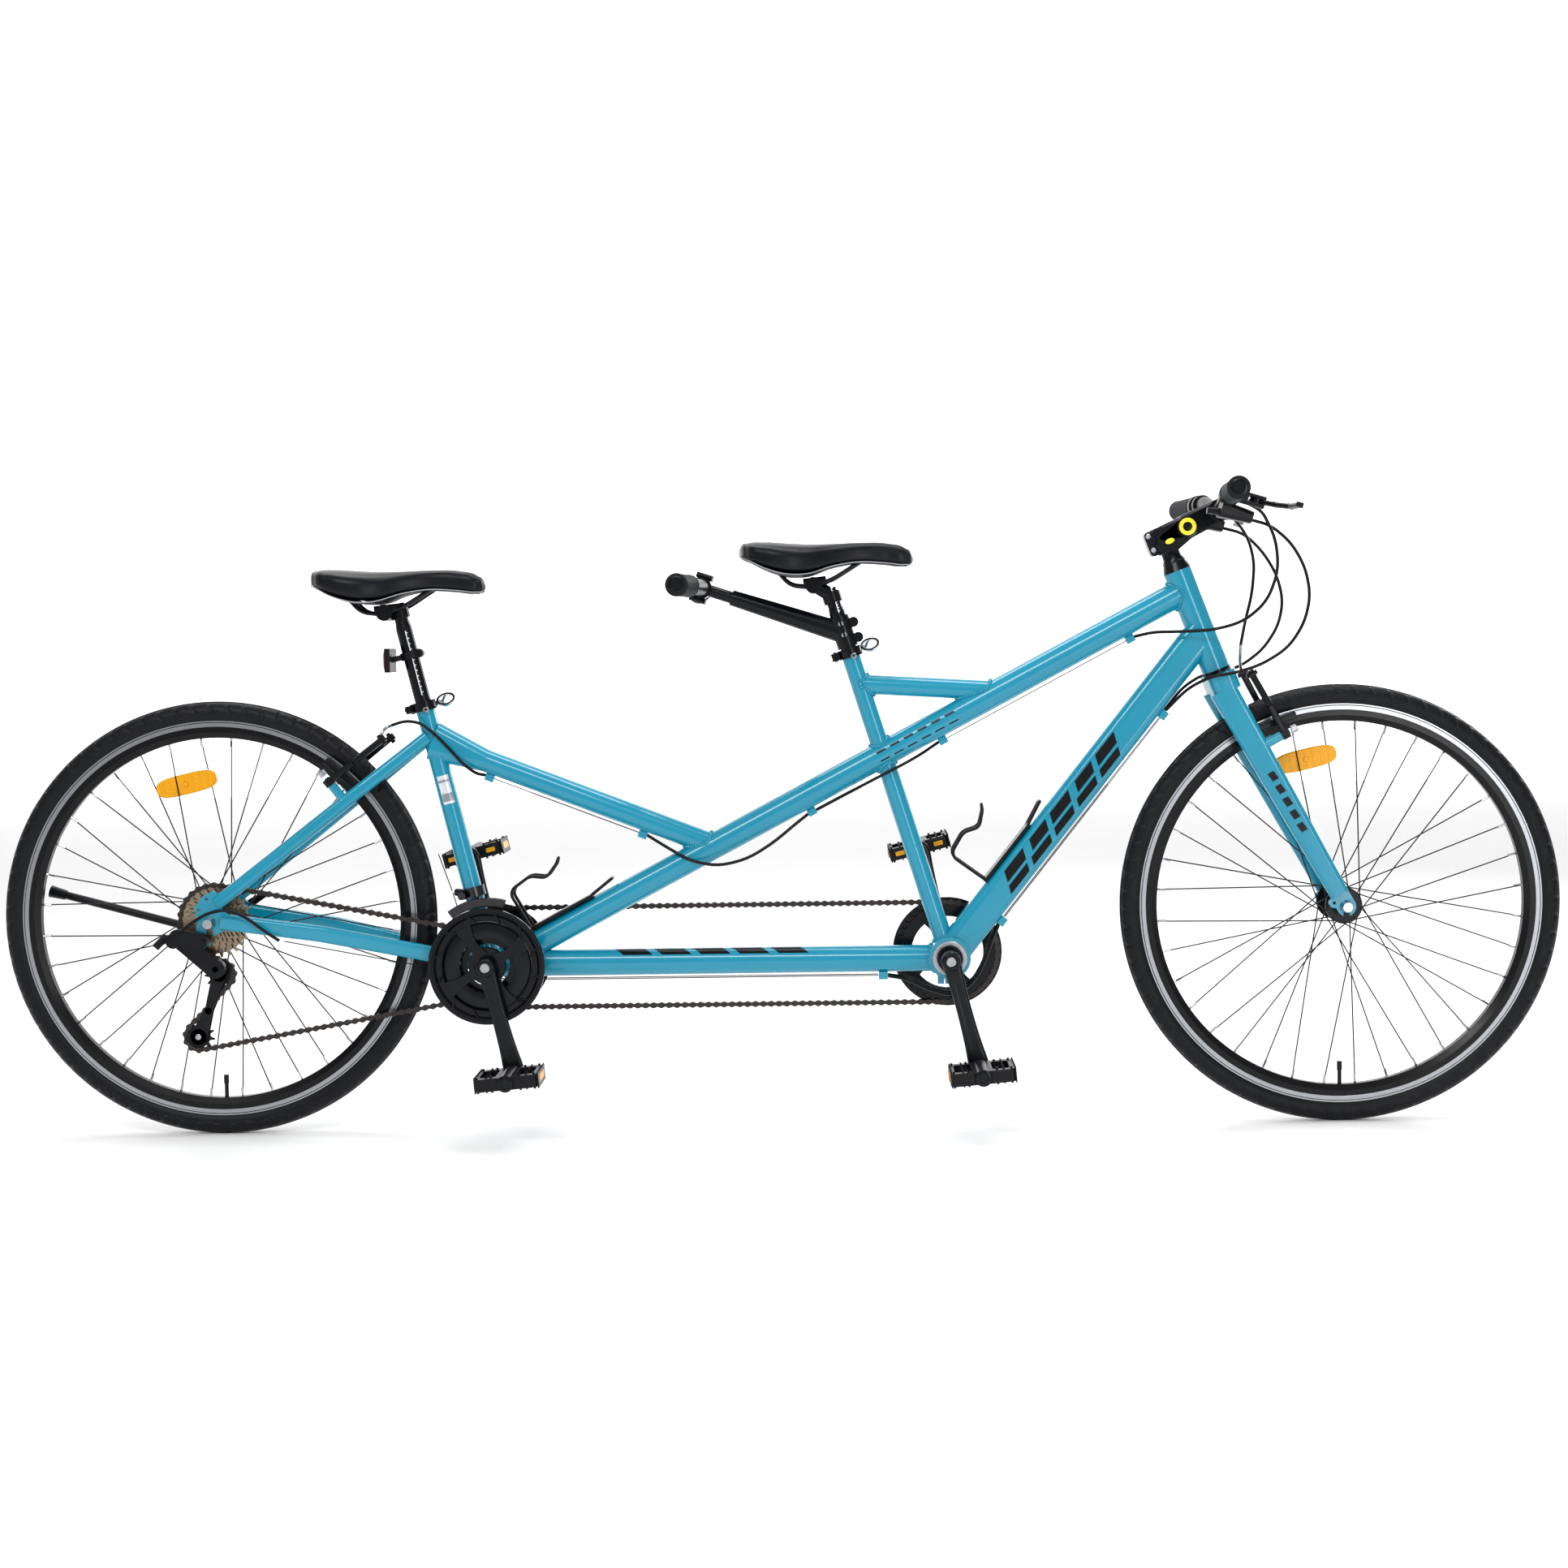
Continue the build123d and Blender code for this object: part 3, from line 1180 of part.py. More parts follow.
# ---------------------------------------------------------------- saddles and posts
def saddle_pad(tail, name):
    """Plain closed body of the saddle: its side outline cut by its plan outline."""
    side = [(0, 0), (11, 11.5), (40, 13.5), (95, 10), (189, 12), (229, 10), (258, 4), (271, -8), (273.5, -22),
            (237, -22), (180, -18), (140, -26), (100, -39), (78, -38), (45, -30), (3, -12)]
    plan = [(0, 0), (2, 40), (14, 68), (40, 80), (78, 80), (110, 68), (145, 44), (190, 25), (240, 19), (266, 15),
            (275, 0)]
    with BuildPart() as piece:
        with BuildSketch(side_plane(90, tail)):
            with BuildLine():
                Polyline(*side, close=True)
            make_face()
        extrude(amount=180)
        with BuildSketch(Plane(origin=(tail.X, 0, tail.Z - 60))):
            with BuildLine():
                Polyline(*plan, *[(x, -y) for x, y in reversed(plan[1:-1])], close=True)
            make_face()
        extrude(amount=120, mode=Mode.INTERSECT)
    save(piece.part, name)
    return piece.part


def seat_post(foot, up, top_distance, tail, names):
    """Post, saddle clamp and the two rails under the saddle."""
    pad = saddle_pad(tail, names[1])
    top = foot + up * top_distance
    clamp = tail + Vector(117, 0, -55)
    rail_y = 22
    rail = [(59, -30), (80, -54), (112, -57.5), (146, -47), (196, -16)]
    with BuildPart() as piece:
        add(rod(foot - up * 230, top - up * 40, post_radius, post_radius - 2.2))
        add(cone(top - up * 40, top - up * 30, post_radius, 11))
        add(rod(top - up * 30, top, 11))
        add(bar(top - up * 12, clamp + up * 2, 24, 22, 8))
        add(rod(clamp - Vector(0, 29, 0), clamp + Vector(0, 29, 0), 13))
        add(bar(clamp + Vector(-16, 0, 5), clamp + Vector(20, 0, 9), 52, 11, 3))
        add(rod(top - up * 24, top - up * 6, 15))
    rails = []
    for hand in (-1, 1):
        route = [(tail.X + u, hand * (rail_y - (6 if u > 180 else 0)), tail.Z + w) for u, w in rail]
        rails.append(bent_rod(route, arc_radii(route, 0.4), 3.5))
    with BuildPart() as joined:
        add(piece.part)
        add(rails[0])
        add(rails[1])
        add(pad, mode=Mode.SUBTRACT)
    save(joined.part, names[0])


captain_tail = Vector(-51.5, 0, 917)
stoker_tail = Vector(-729, 0, 885)
seat_post(captain_seat_top, captain_up, 105, captain_tail, ("captain_seatpost", "captain_saddle"))
seat_post(stoker_seat_top, stoker_up, 166, stoker_tail, ("stoker_seatpost", "stoker_saddle"))

# Stoker's stem: a split collar round the captain's post, a tapered tube and a sliding inner tube.
stem_collar_low = captain_seat_top + captain_up * 7.5
stem_collar_high = captain_seat_top + captain_up * 58
stem_root = captain_seat_top + captain_up * 31
stoker_bar_middle = Vector(-112, 0, 861)
captain_ahead = Vector(captain_up.Z, 0, -captain_up.X)
stem_back = (stoker_bar_middle - stem_root).normalized()
with BuildPart() as stoker_stem:
    add(rod(stem_collar_low, stem_collar_high, 16.5))
    with BuildSketch(Plane(origin=stem_root, x_dir=cross_axis, z_dir=stem_back)):
        RectangleRounded(30, 34, 14.5)
    with BuildSketch(Plane(origin=stem_root + stem_back * 186, x_dir=cross_axis, z_dir=stem_back)):
        RectangleRounded(25, 25, 12.4)
    loft(ruled=True)
    for rise in (18, 43):
        ear = captain_seat_top + captain_up * rise + captain_ahead * 20
        add(rod(ear - Vector(0, 9, 0), ear + Vector(0, 9, 0), 8))
    slot_low = captain_seat_top + captain_ahead * 24
    add(bar(slot_low, slot_low + captain_up * 70, 2.5, 24, 1), mode=Mode.SUBTRACT)
    add(rod(captain_seat_top, captain_seat_top + captain_up * 80, post_radius), mode=Mode.SUBTRACT)
    add(rod(stem_root + stem_back * 186, stoker_bar_middle, 9.5))
    add(rod(stoker_bar_middle - Vector(0, 21, 0), stoker_bar_middle + Vector(0, 21, 0), 17))
    stoker_bolt_up = Vector(-stem_back.Z, 0, stem_back.X)
    for lift in (-1, 1):
        for y in (-13, 13):
            bolt = stoker_bar_middle + stoker_bolt_up * (19 * lift) + Vector(0, y, 0)
            add(rod(bolt - stem_back * 13, bolt + stem_back * 13, 4.5))
    bar_end = Vector(0, 30, 0)
    add(rod(stoker_bar_middle - bar_end, stoker_bar_middle + bar_end, bar_radius), mode=Mode.SUBTRACT)
save(stoker_stem.part.solids().sort_by(SortBy.VOLUME)[-1], "stoker_stem")

stoker_grip_end = Vector(-133, 289, 859)
stoker_bar_side = [tuple(stoker_bar_middle), (-112, 60, 861), tuple(stoker_grip_end)]
with BuildPart() as stoker_handlebar:
    half_bar = bent_rod(stoker_bar_side, [60], bar_radius - 0.02)
    add(half_bar)
    add(mirrored(half_bar))
save(stoker_handlebar.part, "stoker_handlebar")
stoker_grip_along = (stoker_grip_end - Vector(*stoker_bar_side[1])).normalized()
with BuildPart() as stoker_grip:
    grip_start = stoker_grip_end - stoker_grip_along * 125
    add(rod(grip_start, stoker_grip_end + stoker_grip_along * 0.2, grip_radius, bar_radius))
stoker_grip_solid = stoker_grip.part.solid()
save(Compound(children=[stoker_grip_solid, mirrored(stoker_grip_solid)]), "stoker_grips")

# Rear reflector on a strap round the stoker's post.
strap_middle = stoker_seat_top + stoker_up * 82
stoker_back = Vector(-stoker_up.Z, 0, stoker_up.X)
with BuildPart() as rear_reflector:
    add(rod(strap_middle - stoker_up * 6, strap_middle + stoker_up * 6, post_radius + 3.5))
    strap_ear = strap_middle - stoker_back * 14
    add(rod(strap_ear - Vector(0, 8, 0), strap_ear + Vector(0, 8, 0), 7))
    add(bar(strap_middle, strap_middle + stoker_back * 40, 12, 9, 3))
    face = Vector(-612, 0, strap_middle.Z - 8)
    add(bar(face + Vector(3, 0, -19), face + Vector(3, 0, 19), 60, 9, 2))
    add(rod(strap_middle - stoker_up * 20, strap_middle + stoker_up * 20, post_radius), mode=Mode.SUBTRACT)
save(rear_reflector.part.solids().sort_by(SortBy.VOLUME)[-1], "rear_reflector")

# ---------------------------------------------------------------- cables
housing_radius = 2.5
wire_radius = 0.8


def cable(points, radius):
    radii = arc_radii(points)
    tube = bent_rod(points, radii, radius)
    print("cable radii", [round(r) for r in radii], "volume", round(tube.volume))
    return tube.solid()


def wire(start, end):
    return rod(start, end, wire_radius).solid()


# Housings from the controls: front brake, rear brake and the two gears.
front_cable_routes = [
    [(729, 127, 971), (748, 112, 962), (766, 92, 930), (772, 70, 890), (764, 46, 840), (749, 26, 795), (741, 22, 757)],
    [(729, -127, 971), (750, -122, 960), (771, -116, 920), (778, -104, 872), (764, -84, 824), (732, -60, 794),
     (690, -44, 782), (640, -35, 780), (598, -14, 780), (570.2, 0, 773.5)],
    [(729, -126, 948), (764, -110, 940), (798, -96, 914), (822, -86, 876), (832, -76, 832), (824, -68, 790),
     (800, -62, 752), (758, -58, 726), (716, -57, 714), (684, -54, 710), (650, -30, 692), (618.4, -8, 657)],
    [(729, 126, 948), (762, 110, 938), (790, 98, 908), (811, 88, 870), (819, 78, 828), (810, 70, 788), (784, 62, 750),
     (748, 58, 724), (712, 57, 713), (684, 54, 710), (650, 30, 692), (618.4, 8, 657)],
]
control_solids = [lever_body_solid, shifter_solid]
front_cables = []
for number, points in enumerate(front_cable_routes):
    pair = control_solids if number in (0, 3) else [mirrored(piece) for piece in control_solids]
    front_cables.append(cut(cable(points, housing_radius), *pair, *frame_pieces))
save(Compound(children=front_cables), "front_cables")

# Wires and housings that stay with the frame.
frame_cable_routes = [
    [(259.5, 0, 611.5), (232, -14, 594), (208, -21, 581), (146, -21, 550), (108, -11, 530), (64.8, 0, 507)],
    [(51.2, 0, 500.3), (32, -7, 486), (-4, -18, 457), (-46, -25, 432), (-92, -28, 422), (-134, -27, 430),
     (-172, -16, 451), (-204.8, 0, 470)],
    [(-461.2, 0, 569.9), (-474, -12, 573), (-492, -24, 588), (-512, -27, 612), (-538, -28, 640), (-560, -26, 656),
     (-584, -22, 659), (-606, -20, 652)],
    [(351.4, -8, 320.9), (338, -10, 290), (326, -12, 256), (306, -12, 224), (272, -12, 208), (232, -11, 222),
     (204, -9, 236), (174.6, -8, 241)],
    [(351.4, 8, 320.9), (338, 10, 290), (326, 12, 256), (306, 12, 224), (272, 12, 208), (232, 11, 222),
     (204, 9, 236), (174.6, 8, 241)],
    [(-780, -80, 319), (-800, -86, 334), (-828, -92, 358), (-857, -95, 371), (-887, -96, 366), (-914, -96, 350),
     (-940, -95, 330), (-966, -94, 315)],
]
frame_cables = [
    cut(cable(points, housing_radius), *frame_pieces, rear_derailleur.part) for points in frame_cable_routes
]
frame_wires = [
    wire((562.5, 0, 769.8), (267.5, 0, 614.8)),
    wire((-218.5, 0, 474.9), (-447.4, 0, 564)),
    wire((608.4, -8, 644.2), (360.8, -8, 332.8)),
    wire((608.4, 8, 644.2), (360.8, 8, 332.8)),
    wire((159.6, -8, 242), (-455, -8, 242.5)),
    wire((159.6, 8, 242), (-455, 8, 242.5)),
    wire((-462, -12, 246.5), (-774, -72, 317)),
    wire((-482, 8, 252), (-517, -6, 383)),
    wire((-518, -6, 386), (-538.6, -6, 445.3)),
]
trimmed_wires = [cut(piece, *frame_pieces) for piece in frame_wires]
save(Compound(children=frame_cables + trimmed_wires), "frame_cables")
print("nodes", len(os.listdir("parts")))
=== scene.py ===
import math

import bmesh
import bpy
import numpy as np
from mathutils import Matrix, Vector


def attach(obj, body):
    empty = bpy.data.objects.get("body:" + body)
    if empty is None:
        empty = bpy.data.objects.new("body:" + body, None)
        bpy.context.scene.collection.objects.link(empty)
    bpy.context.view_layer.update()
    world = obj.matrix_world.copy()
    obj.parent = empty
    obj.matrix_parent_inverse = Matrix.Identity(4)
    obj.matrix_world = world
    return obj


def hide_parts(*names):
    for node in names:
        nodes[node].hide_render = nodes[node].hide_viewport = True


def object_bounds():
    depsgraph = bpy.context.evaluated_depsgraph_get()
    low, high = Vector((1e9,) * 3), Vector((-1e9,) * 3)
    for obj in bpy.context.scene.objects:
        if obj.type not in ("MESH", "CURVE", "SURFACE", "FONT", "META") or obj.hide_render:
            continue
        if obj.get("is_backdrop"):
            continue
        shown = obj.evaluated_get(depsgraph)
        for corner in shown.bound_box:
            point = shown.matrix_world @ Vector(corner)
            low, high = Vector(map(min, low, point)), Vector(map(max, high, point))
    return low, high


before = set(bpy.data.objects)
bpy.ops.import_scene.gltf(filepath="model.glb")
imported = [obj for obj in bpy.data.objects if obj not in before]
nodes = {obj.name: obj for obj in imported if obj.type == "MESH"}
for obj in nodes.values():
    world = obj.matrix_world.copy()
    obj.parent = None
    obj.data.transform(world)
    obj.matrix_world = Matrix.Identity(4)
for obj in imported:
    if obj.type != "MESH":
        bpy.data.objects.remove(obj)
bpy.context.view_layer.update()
print("frame loaded:", len(nodes), "nodes")


# vectors and curves
def unit(v):
    v = np.asarray(v, float)
    return v / np.linalg.norm(v, axis=-1, keepdims=True)


def smoothKeys(keys, values, t):
    # cubic Hermite through the keys, slopes taken from the neighbours
    keys = np.asarray(keys, float)
    values = np.asarray(values, float)
    slopes = np.gradient(values, keys, axis=0)
    k = np.clip(np.searchsorted(keys, t) - 1, 0, len(keys) - 2)
    step = keys[k + 1] - keys[k]
    s = (t - keys[k]) / step
    shape = (-1,) + (1,) * (values.ndim - 1)
    s = s.reshape(shape)
    step = step.reshape(shape)
    return ((2 * s**3 - 3 * s**2 + 1) * values[k] + (s**3 - 2 * s**2 + s) * step * slopes[k]
            + (3 * s**2 - 2 * s**3) * values[k + 1] + (s**3 - s**2) * step * slopes[k + 1])


def smoothPath(points, count):
    # a rounded line through the points, evenly sampled by distance between them
    points = np.asarray(points, float)
    steps = np.linalg.norm(np.diff(points, axis=0), axis=1)
    reach = np.concatenate([[0], np.cumsum(steps)])
    return smoothKeys(reach, points, np.linspace(0, reach[-1], count))


def sideways(axis):
    # two unit vectors square to the axis
    axis = unit(axis)
    near = np.array([0, 1, 0]) if abs(axis[1]) < 0.9 else np.array([1, 0, 0])
    first = unit(np.cross(near, axis))
    return first, np.cross(axis, first)


across = np.array([0.0, 1.0, 0.0])  # the direction all wheels and hinges share

# shapes: each gives points and faces
def gridShape(points, wrapRows=False, wrapCols=False, caps=False):
    # a sheet of quads over a grid of points, joined round where it wraps; caps fill the end rows
    rows, cols = points.shape[:2]
    r = np.arange(rows if wrapRows else rows - 1)
    c = np.arange(cols if wrapCols else cols - 1)
    r, c = np.meshgrid(r, c, indexing="ij")
    r2, c2 = (r + 1) % rows, (c + 1) % cols
    faces = np.stack([r * cols + c, r2 * cols + c, r2 * cols + c2, r * cols + c2], -1).reshape(-1, 4).tolist()
    if caps:
        faces += [list(range(cols))[::-1], list(range((rows - 1) * cols, rows * cols))]
    return points.reshape(-1, 3), faces


def turnedShape(profile, origin, axis, steps=32):
    # profile of (distance along the axis, radius), carried once round it
    profile = np.asarray(profile, float)
    first, second = sideways(axis)
    angle = np.linspace(0, 2 * np.pi, steps, endpoint=False)[:, None, None]
    ring = np.cos(angle) * first + np.sin(angle) * second
    points = np.asarray(origin) + profile[None, :, :1] * unit(axis) + profile[None, :, 1:] * ring
    return gridShape(points, wrapRows=True)


def tubeShape(path, radius, sides=12, across=(0, 1, 0), flat=1.0, capped=True):
    # a round or flattened section carried along the path; radius may change on the way
    path = np.asarray(path, float)
    along = unit(np.gradient(path, axis=0))
    up = unit(np.cross(along, np.asarray(across, float)))
    side = np.cross(up, along)
    radius = np.broadcast_to(np.asarray(radius, float), (len(path),))[:, None, None]
    angle = np.linspace(0, 2 * np.pi, sides, endpoint=False)[None, :, None]
    points = path[:, None] + radius * (np.cos(angle) * side[:, None] * flat + np.sin(angle) * up[:, None])
    if capped:
        ends = [np.repeat(path[k][None, None], sides, axis=1) for k in (0, -1)]
        points = np.concatenate([ends[0], points, ends[1]])
    return gridShape(points, wrapCols=True)


def sectionShape(path, section, across=(0, 1, 0), scale=1.0, closed=False):
    # any closed section of (across, up) points carried along the path
    path = np.asarray(path, float)
    along = unit(np.gradient(path, axis=0))
    up = unit(np.cross(along, np.asarray(across, float)))
    side = np.cross(up, along)
    section = np.asarray(section, float)
    scale = np.broadcast_to(np.asarray(scale, float), (len(path),))[:, None, None]
    points = path[:, None] + scale * (section[None, :, :1] * side[:, None]
                                      + section[None, :, 1:] * up[:, None])
    if not closed:
        middles = points.mean(axis=1, keepdims=True)
        ends = [np.repeat(middles[k][None], len(section), axis=1) for k in (0, -1)]
        points = np.concatenate([ends[0], points, ends[1]])
    return gridShape(points, wrapRows=closed, wrapCols=True)


def plateShape(outline, origin, right, up, thickness):
    # flat outline of (right, up) points, given a thickness along their cross product
    outline = np.asarray(outline, float)
    right, up = unit(right), unit(up)
    out = np.cross(right, up)
    flatPart = np.asarray(origin) + outline[:, :1] * right + outline[:, 1:] * up
    points = np.concatenate([flatPart, flatPart + thickness * out])
    n = len(outline)
    k = np.arange(n)
    walls = np.stack([k, (k + 1) % n, (k + 1) % n + n, k + n], -1).tolist()
    return points, walls + [k[::-1].tolist(), (k + n).tolist()]


def linkShape(start, startRadius, end, endRadius, near, far, bevel=0.0008, steps=14):
    # the outline round two circles in the side plane, as four layers between two widths that are
    # drawn in by the bevel at both faces
    start, end = np.asarray(start, float), np.asarray(end, float)
    along = unit(end - start)
    up = np.cross(along, across)
    lean = math.acos((startRadius - endRadius) / np.linalg.norm(end - start))
    round0 = np.linspace(lean, 2 * np.pi - lean, steps)[:, None]
    round1 = np.linspace(-lean, lean, steps)[:, None]
    layers = []
    for y, inset in ((near, bevel), (near + bevel, 0), (far - bevel, 0), (far, bevel)):
        first = start + (startRadius - inset) * (np.cos(round0) * along + np.sin(round0) * up)
        second = end + (endRadius - inset) * (np.cos(round1) * along + np.sin(round1) * up)
        layers.append(np.concatenate([first, second]) * (1, 0, 1) + across * y)
    return gridShape(np.stack(layers), wrapCols=True, caps=True)


def hexBolt(centre, axis, radius, height, socket=0.5):
    # round head with a domed rim and a sunk socket, standing along the axis
    r, h = radius, height
    profile = [(0, r), (h * 0.75, r), (h, r * 0.82), (h, r * socket), (h * 0.35, r * socket * 0.95),
               (h * 0.35, 0)]
    return turnedShape([(0, 0)] + profile, centre, axis, 18)


def addPiece(name, shapes, material, body, sharp=35, merge=1e-6):
    # one object from several shapes, closed up and with its faces outwards
    points, faces, base = [], [], 0
    for shapePoints, shapeFaces in shapes:
        points.append(np.asarray(shapePoints))
        faces += [[i + base for i in f] for f in shapeFaces]
        base += len(shapePoints)
    mesh = bpy.data.meshes.new(name)
    mesh.from_pydata(np.concatenate(points).tolist(), [], faces)
    tidy = bmesh.new()
    tidy.from_mesh(mesh)
    bmesh.ops.remove_doubles(tidy, verts=tidy.verts, dist=merge)
    bmesh.ops.recalc_face_normals(tidy, faces=tidy.faces)
    tidy.to_mesh(mesh)
    tidy.free()
    mesh.shade_smooth()
    mesh.set_sharp_from_angle(angle=math.radians(sharp))
    piece = bpy.data.objects.new(name, mesh)
    bpy.context.scene.collection.objects.link(piece)
    mesh.materials.append(material)
    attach(piece, body)
    return piece


# materials
def makeMaterial(name, look):
    # principled surface; noise on Object coordinates varies its colour, roughness and bump
    material = bpy.data.materials.new(name)
    material.use_nodes = True
    tree = material.node_tree
    shader = tree.nodes["Principled BSDF"]
    shader.inputs["Metallic"].default_value = look.get("metal", 0.0)
    shader.inputs["Coat Weight"].default_value = look.get("coat", 0.0)
    shader.inputs["Coat Roughness"].default_value = look.get("coatRoughness", 0.05)
    shader.inputs["Specular IOR Level"].default_value = look.get("specular", 0.5)
    shader.inputs["Transmission Weight"].default_value = look.get("clear", 0.0)
    # emission: a painted glow on the reflector lenses, and the even brightness of the backdrop screen
    if "glow" in look:
        shader.inputs["Emission Color"].default_value = (*look["colour"], 1)
        shader.inputs["Emission Strength"].default_value = look["glow"]
    place = tree.nodes.new("ShaderNodeTexCoord")
    noise = tree.nodes.new("ShaderNodeTexNoise")
    noise.inputs["Scale"].default_value = look.get("grain", 300.0)
    noise.inputs["Detail"].default_value = 3.0
    tree.links.new(place.outputs["Object"], noise.inputs["Vector"])
    shade = tree.nodes.new("ShaderNodeValToRGB")
    spread = look.get("spread", 0.12)
    colour = np.array(look["colour"])
    shade.color_ramp.elements[0].position = 0.3
    shade.color_ramp.elements[1].position = 0.7
    shade.color_ramp.elements[0].color = (*np.clip(colour * (1 - spread), 0, 1), 1)
    shade.color_ramp.elements[1].color = (*np.clip(colour * (1 + spread), 0, 1), 1)
    tree.links.new(noise.outputs["Fac"], shade.inputs["Fac"])
    tree.links.new(shade.outputs["Color"], shader.inputs["Base Color"])
    rough = look.get("rough", 0.4)
    roughSpread = look.get("roughSpread", 0.05)
    gloss = tree.nodes.new("ShaderNodeMapRange")
    gloss.inputs["To Min"].default_value = max(rough - roughSpread, 0.02)
    gloss.inputs["To Max"].default_value = rough + roughSpread
    tree.links.new(noise.outputs["Fac"], gloss.inputs["Value"])
    tree.links.new(gloss.outputs["Result"], shader.inputs["Roughness"])
    if look.get("bump", 0):
        relief = tree.nodes.new("ShaderNodeTexNoise")
        relief.inputs["Scale"].default_value = look.get("bumpGrain", 900.0)
        relief.inputs["Detail"].default_value = 2.0
        tree.links.new(place.outputs["Object"], relief.inputs["Vector"])
        bump = tree.nodes.new("ShaderNodeBump")
        bump.inputs["Strength"].default_value = look["bump"]
        bump.inputs["Distance"].default_value = look.get("bumpDepth", 0.0003)
        tree.links.new(relief.outputs["Fac"], bump.inputs["Height"])
        tree.links.new(bump.outputs["Normal"], shader.inputs["Normal"])
    return material


looks = {
    "framePaint": {"colour": (0.002, 0.25, 0.38), "rough": 0.22, "coat": 0.5, "coatRoughness": 0.04,
                   "specular": 0.35, "grain": 3.0, "spread": 0.05, "bump": 0.06, "bumpGrain": 260.0},
    "weldPaint": {"colour": (0.003, 0.26, 0.39), "rough": 0.2, "coat": 0.5, "specular": 0.35, "grain": 30.0,
                  "spread": 0.05},
    "blackGloss": {"colour": (0.003, 0.0035, 0.005), "rough": 0.2, "specular": 0.2, "grain": 60.0,
                   "bump": 0.05, "bumpGrain": 500.0},
    "crankBlack": {"colour": (0.002, 0.003, 0.005), "rough": 0.24, "specular": 0.22, "grain": 90.0,
                   "bump": 0.05, "bumpGrain": 700.0},
    "labelGrey": {"colour": (0.3, 0.31, 0.34), "rough": 0.3, "metal": 0.4, "grain": 80.0},
    "blackSatin": {"colour": (0.003, 0.0035, 0.005), "rough": 0.3, "specular": 0.2, "grain": 200.0,
                   "bump": 0.12, "bumpGrain": 1400.0},
    "blackPlastic": {"colour": (0.004, 0.004, 0.006), "rough": 0.36, "specular": 0.2, "grain": 400.0,
                     "bump": 0.2, "bumpGrain": 1600.0},
    "gripRubber": {"colour": (0.005, 0.006, 0.008), "rough": 0.5, "specular": 0.2, "grain": 500.0,
                   "bump": 0.4, "bumpGrain": 1500.0},
    "tyreRubber": {"colour": (0.004, 0.0045, 0.006), "rough": 0.45, "specular": 0.18, "grain": 90.0,
                   "spread": 0.25, "bump": 0.3, "bumpGrain": 900.0},
    "saddleCover": {"colour": (0.003, 0.0035, 0.006), "specular": 0.2, "rough": 0.34, "roughSpread": 0.08,
                    "grain": 120.0, "bump": 0.35, "bumpGrain": 1100.0},
    "saddleShell": {"colour": (0.008, 0.008, 0.01), "rough": 0.5, "specular": 0.2, "grain": 200.0},
    "piping": {"colour": (0.3, 0.31, 0.33), "rough": 0.5, "grain": 600.0},
    "rimBlack": {"colour": (0.003, 0.003, 0.004), "rough": 0.25, "specular": 0.2, "grain": 80.0},
    "brakeTrack": {"colour": (0.33, 0.34, 0.36), "rough": 0.3, "metal": 1.0, "grain": 700.0, "spread": 0.08},
    "alloy": {"colour": (0.42, 0.43, 0.46), "rough": 0.28, "metal": 1.0, "grain": 300.0},
    "chrome": {"colour": (0.6, 0.61, 0.64), "rough": 0.1, "metal": 1.0, "grain": 100.0, "spread": 0.04},
    "darkChrome": {"colour": (0.05, 0.05, 0.055), "rough": 0.2, "metal": 1.0, "grain": 150.0, "spread": 0.05},
    "spokeBlack": {"colour": (0.008, 0.008, 0.01), "rough": 0.3, "metal": 0.3, "specular": 0.2,
                   "grain": 400.0},
    "chainSteel": {"colour": (0.045, 0.04, 0.038), "rough": 0.32, "metal": 0.9, "grain": 500.0,
                   "spread": 0.3},
    "cogSteel": {"colour": (0.3, 0.24, 0.17), "rough": 0.32, "metal": 1.0, "grain": 200.0, "spread": 0.2},
    "cableJacket": {"colour": (0.002, 0.002, 0.003), "rough": 0.32, "specular": 0.2, "grain": 600.0},
    "decalBlack": {"colour": (0.0015, 0.0015, 0.002), "rough": 0.25, "specular": 0.2, "grain": 50.0},
    # silver: the seat tube's label, and painted highlights on the seat posts and the seat tube
    "silverDecalAndSheen": {"colour": (0.72, 0.74, 0.77), "rough": 0.3, "metal": 0.3, "grain": 50.0},
    "decalYellow": {"colour": (0.85, 0.75, 0.02), "rough": 0.35, "grain": 80.0, "spread": 0.05},
    # amber lens colour; its glow is a painted glow standing for light the reflector sends back, the lens is
    # no lamp
    "amberLensPaintedGlow": {"colour": (0.75, 0.33, 0.008), "rough": 0.3, "coat": 0.0, "specular": 0.2, "grain": 700.0,
                  "spread": 0.2, "glow": 0.06, "bump": 0.5, "bumpGrain": 420.0},
    # red lens colour; its glow is a painted glow standing for light the reflector sends back, the lens is no
    # lamp
    "redLensPaintedGlow": {"colour": (0.6, 0.008, 0.008), "rough": 0.14, "coat": 0.5, "grain": 700.0, "spread": 0.2,
                "glow": 0.06, "bump": 0.5, "bumpGrain": 420.0},
}
paint = {name: makeMaterial(name, look) for name, look in looks.items()}

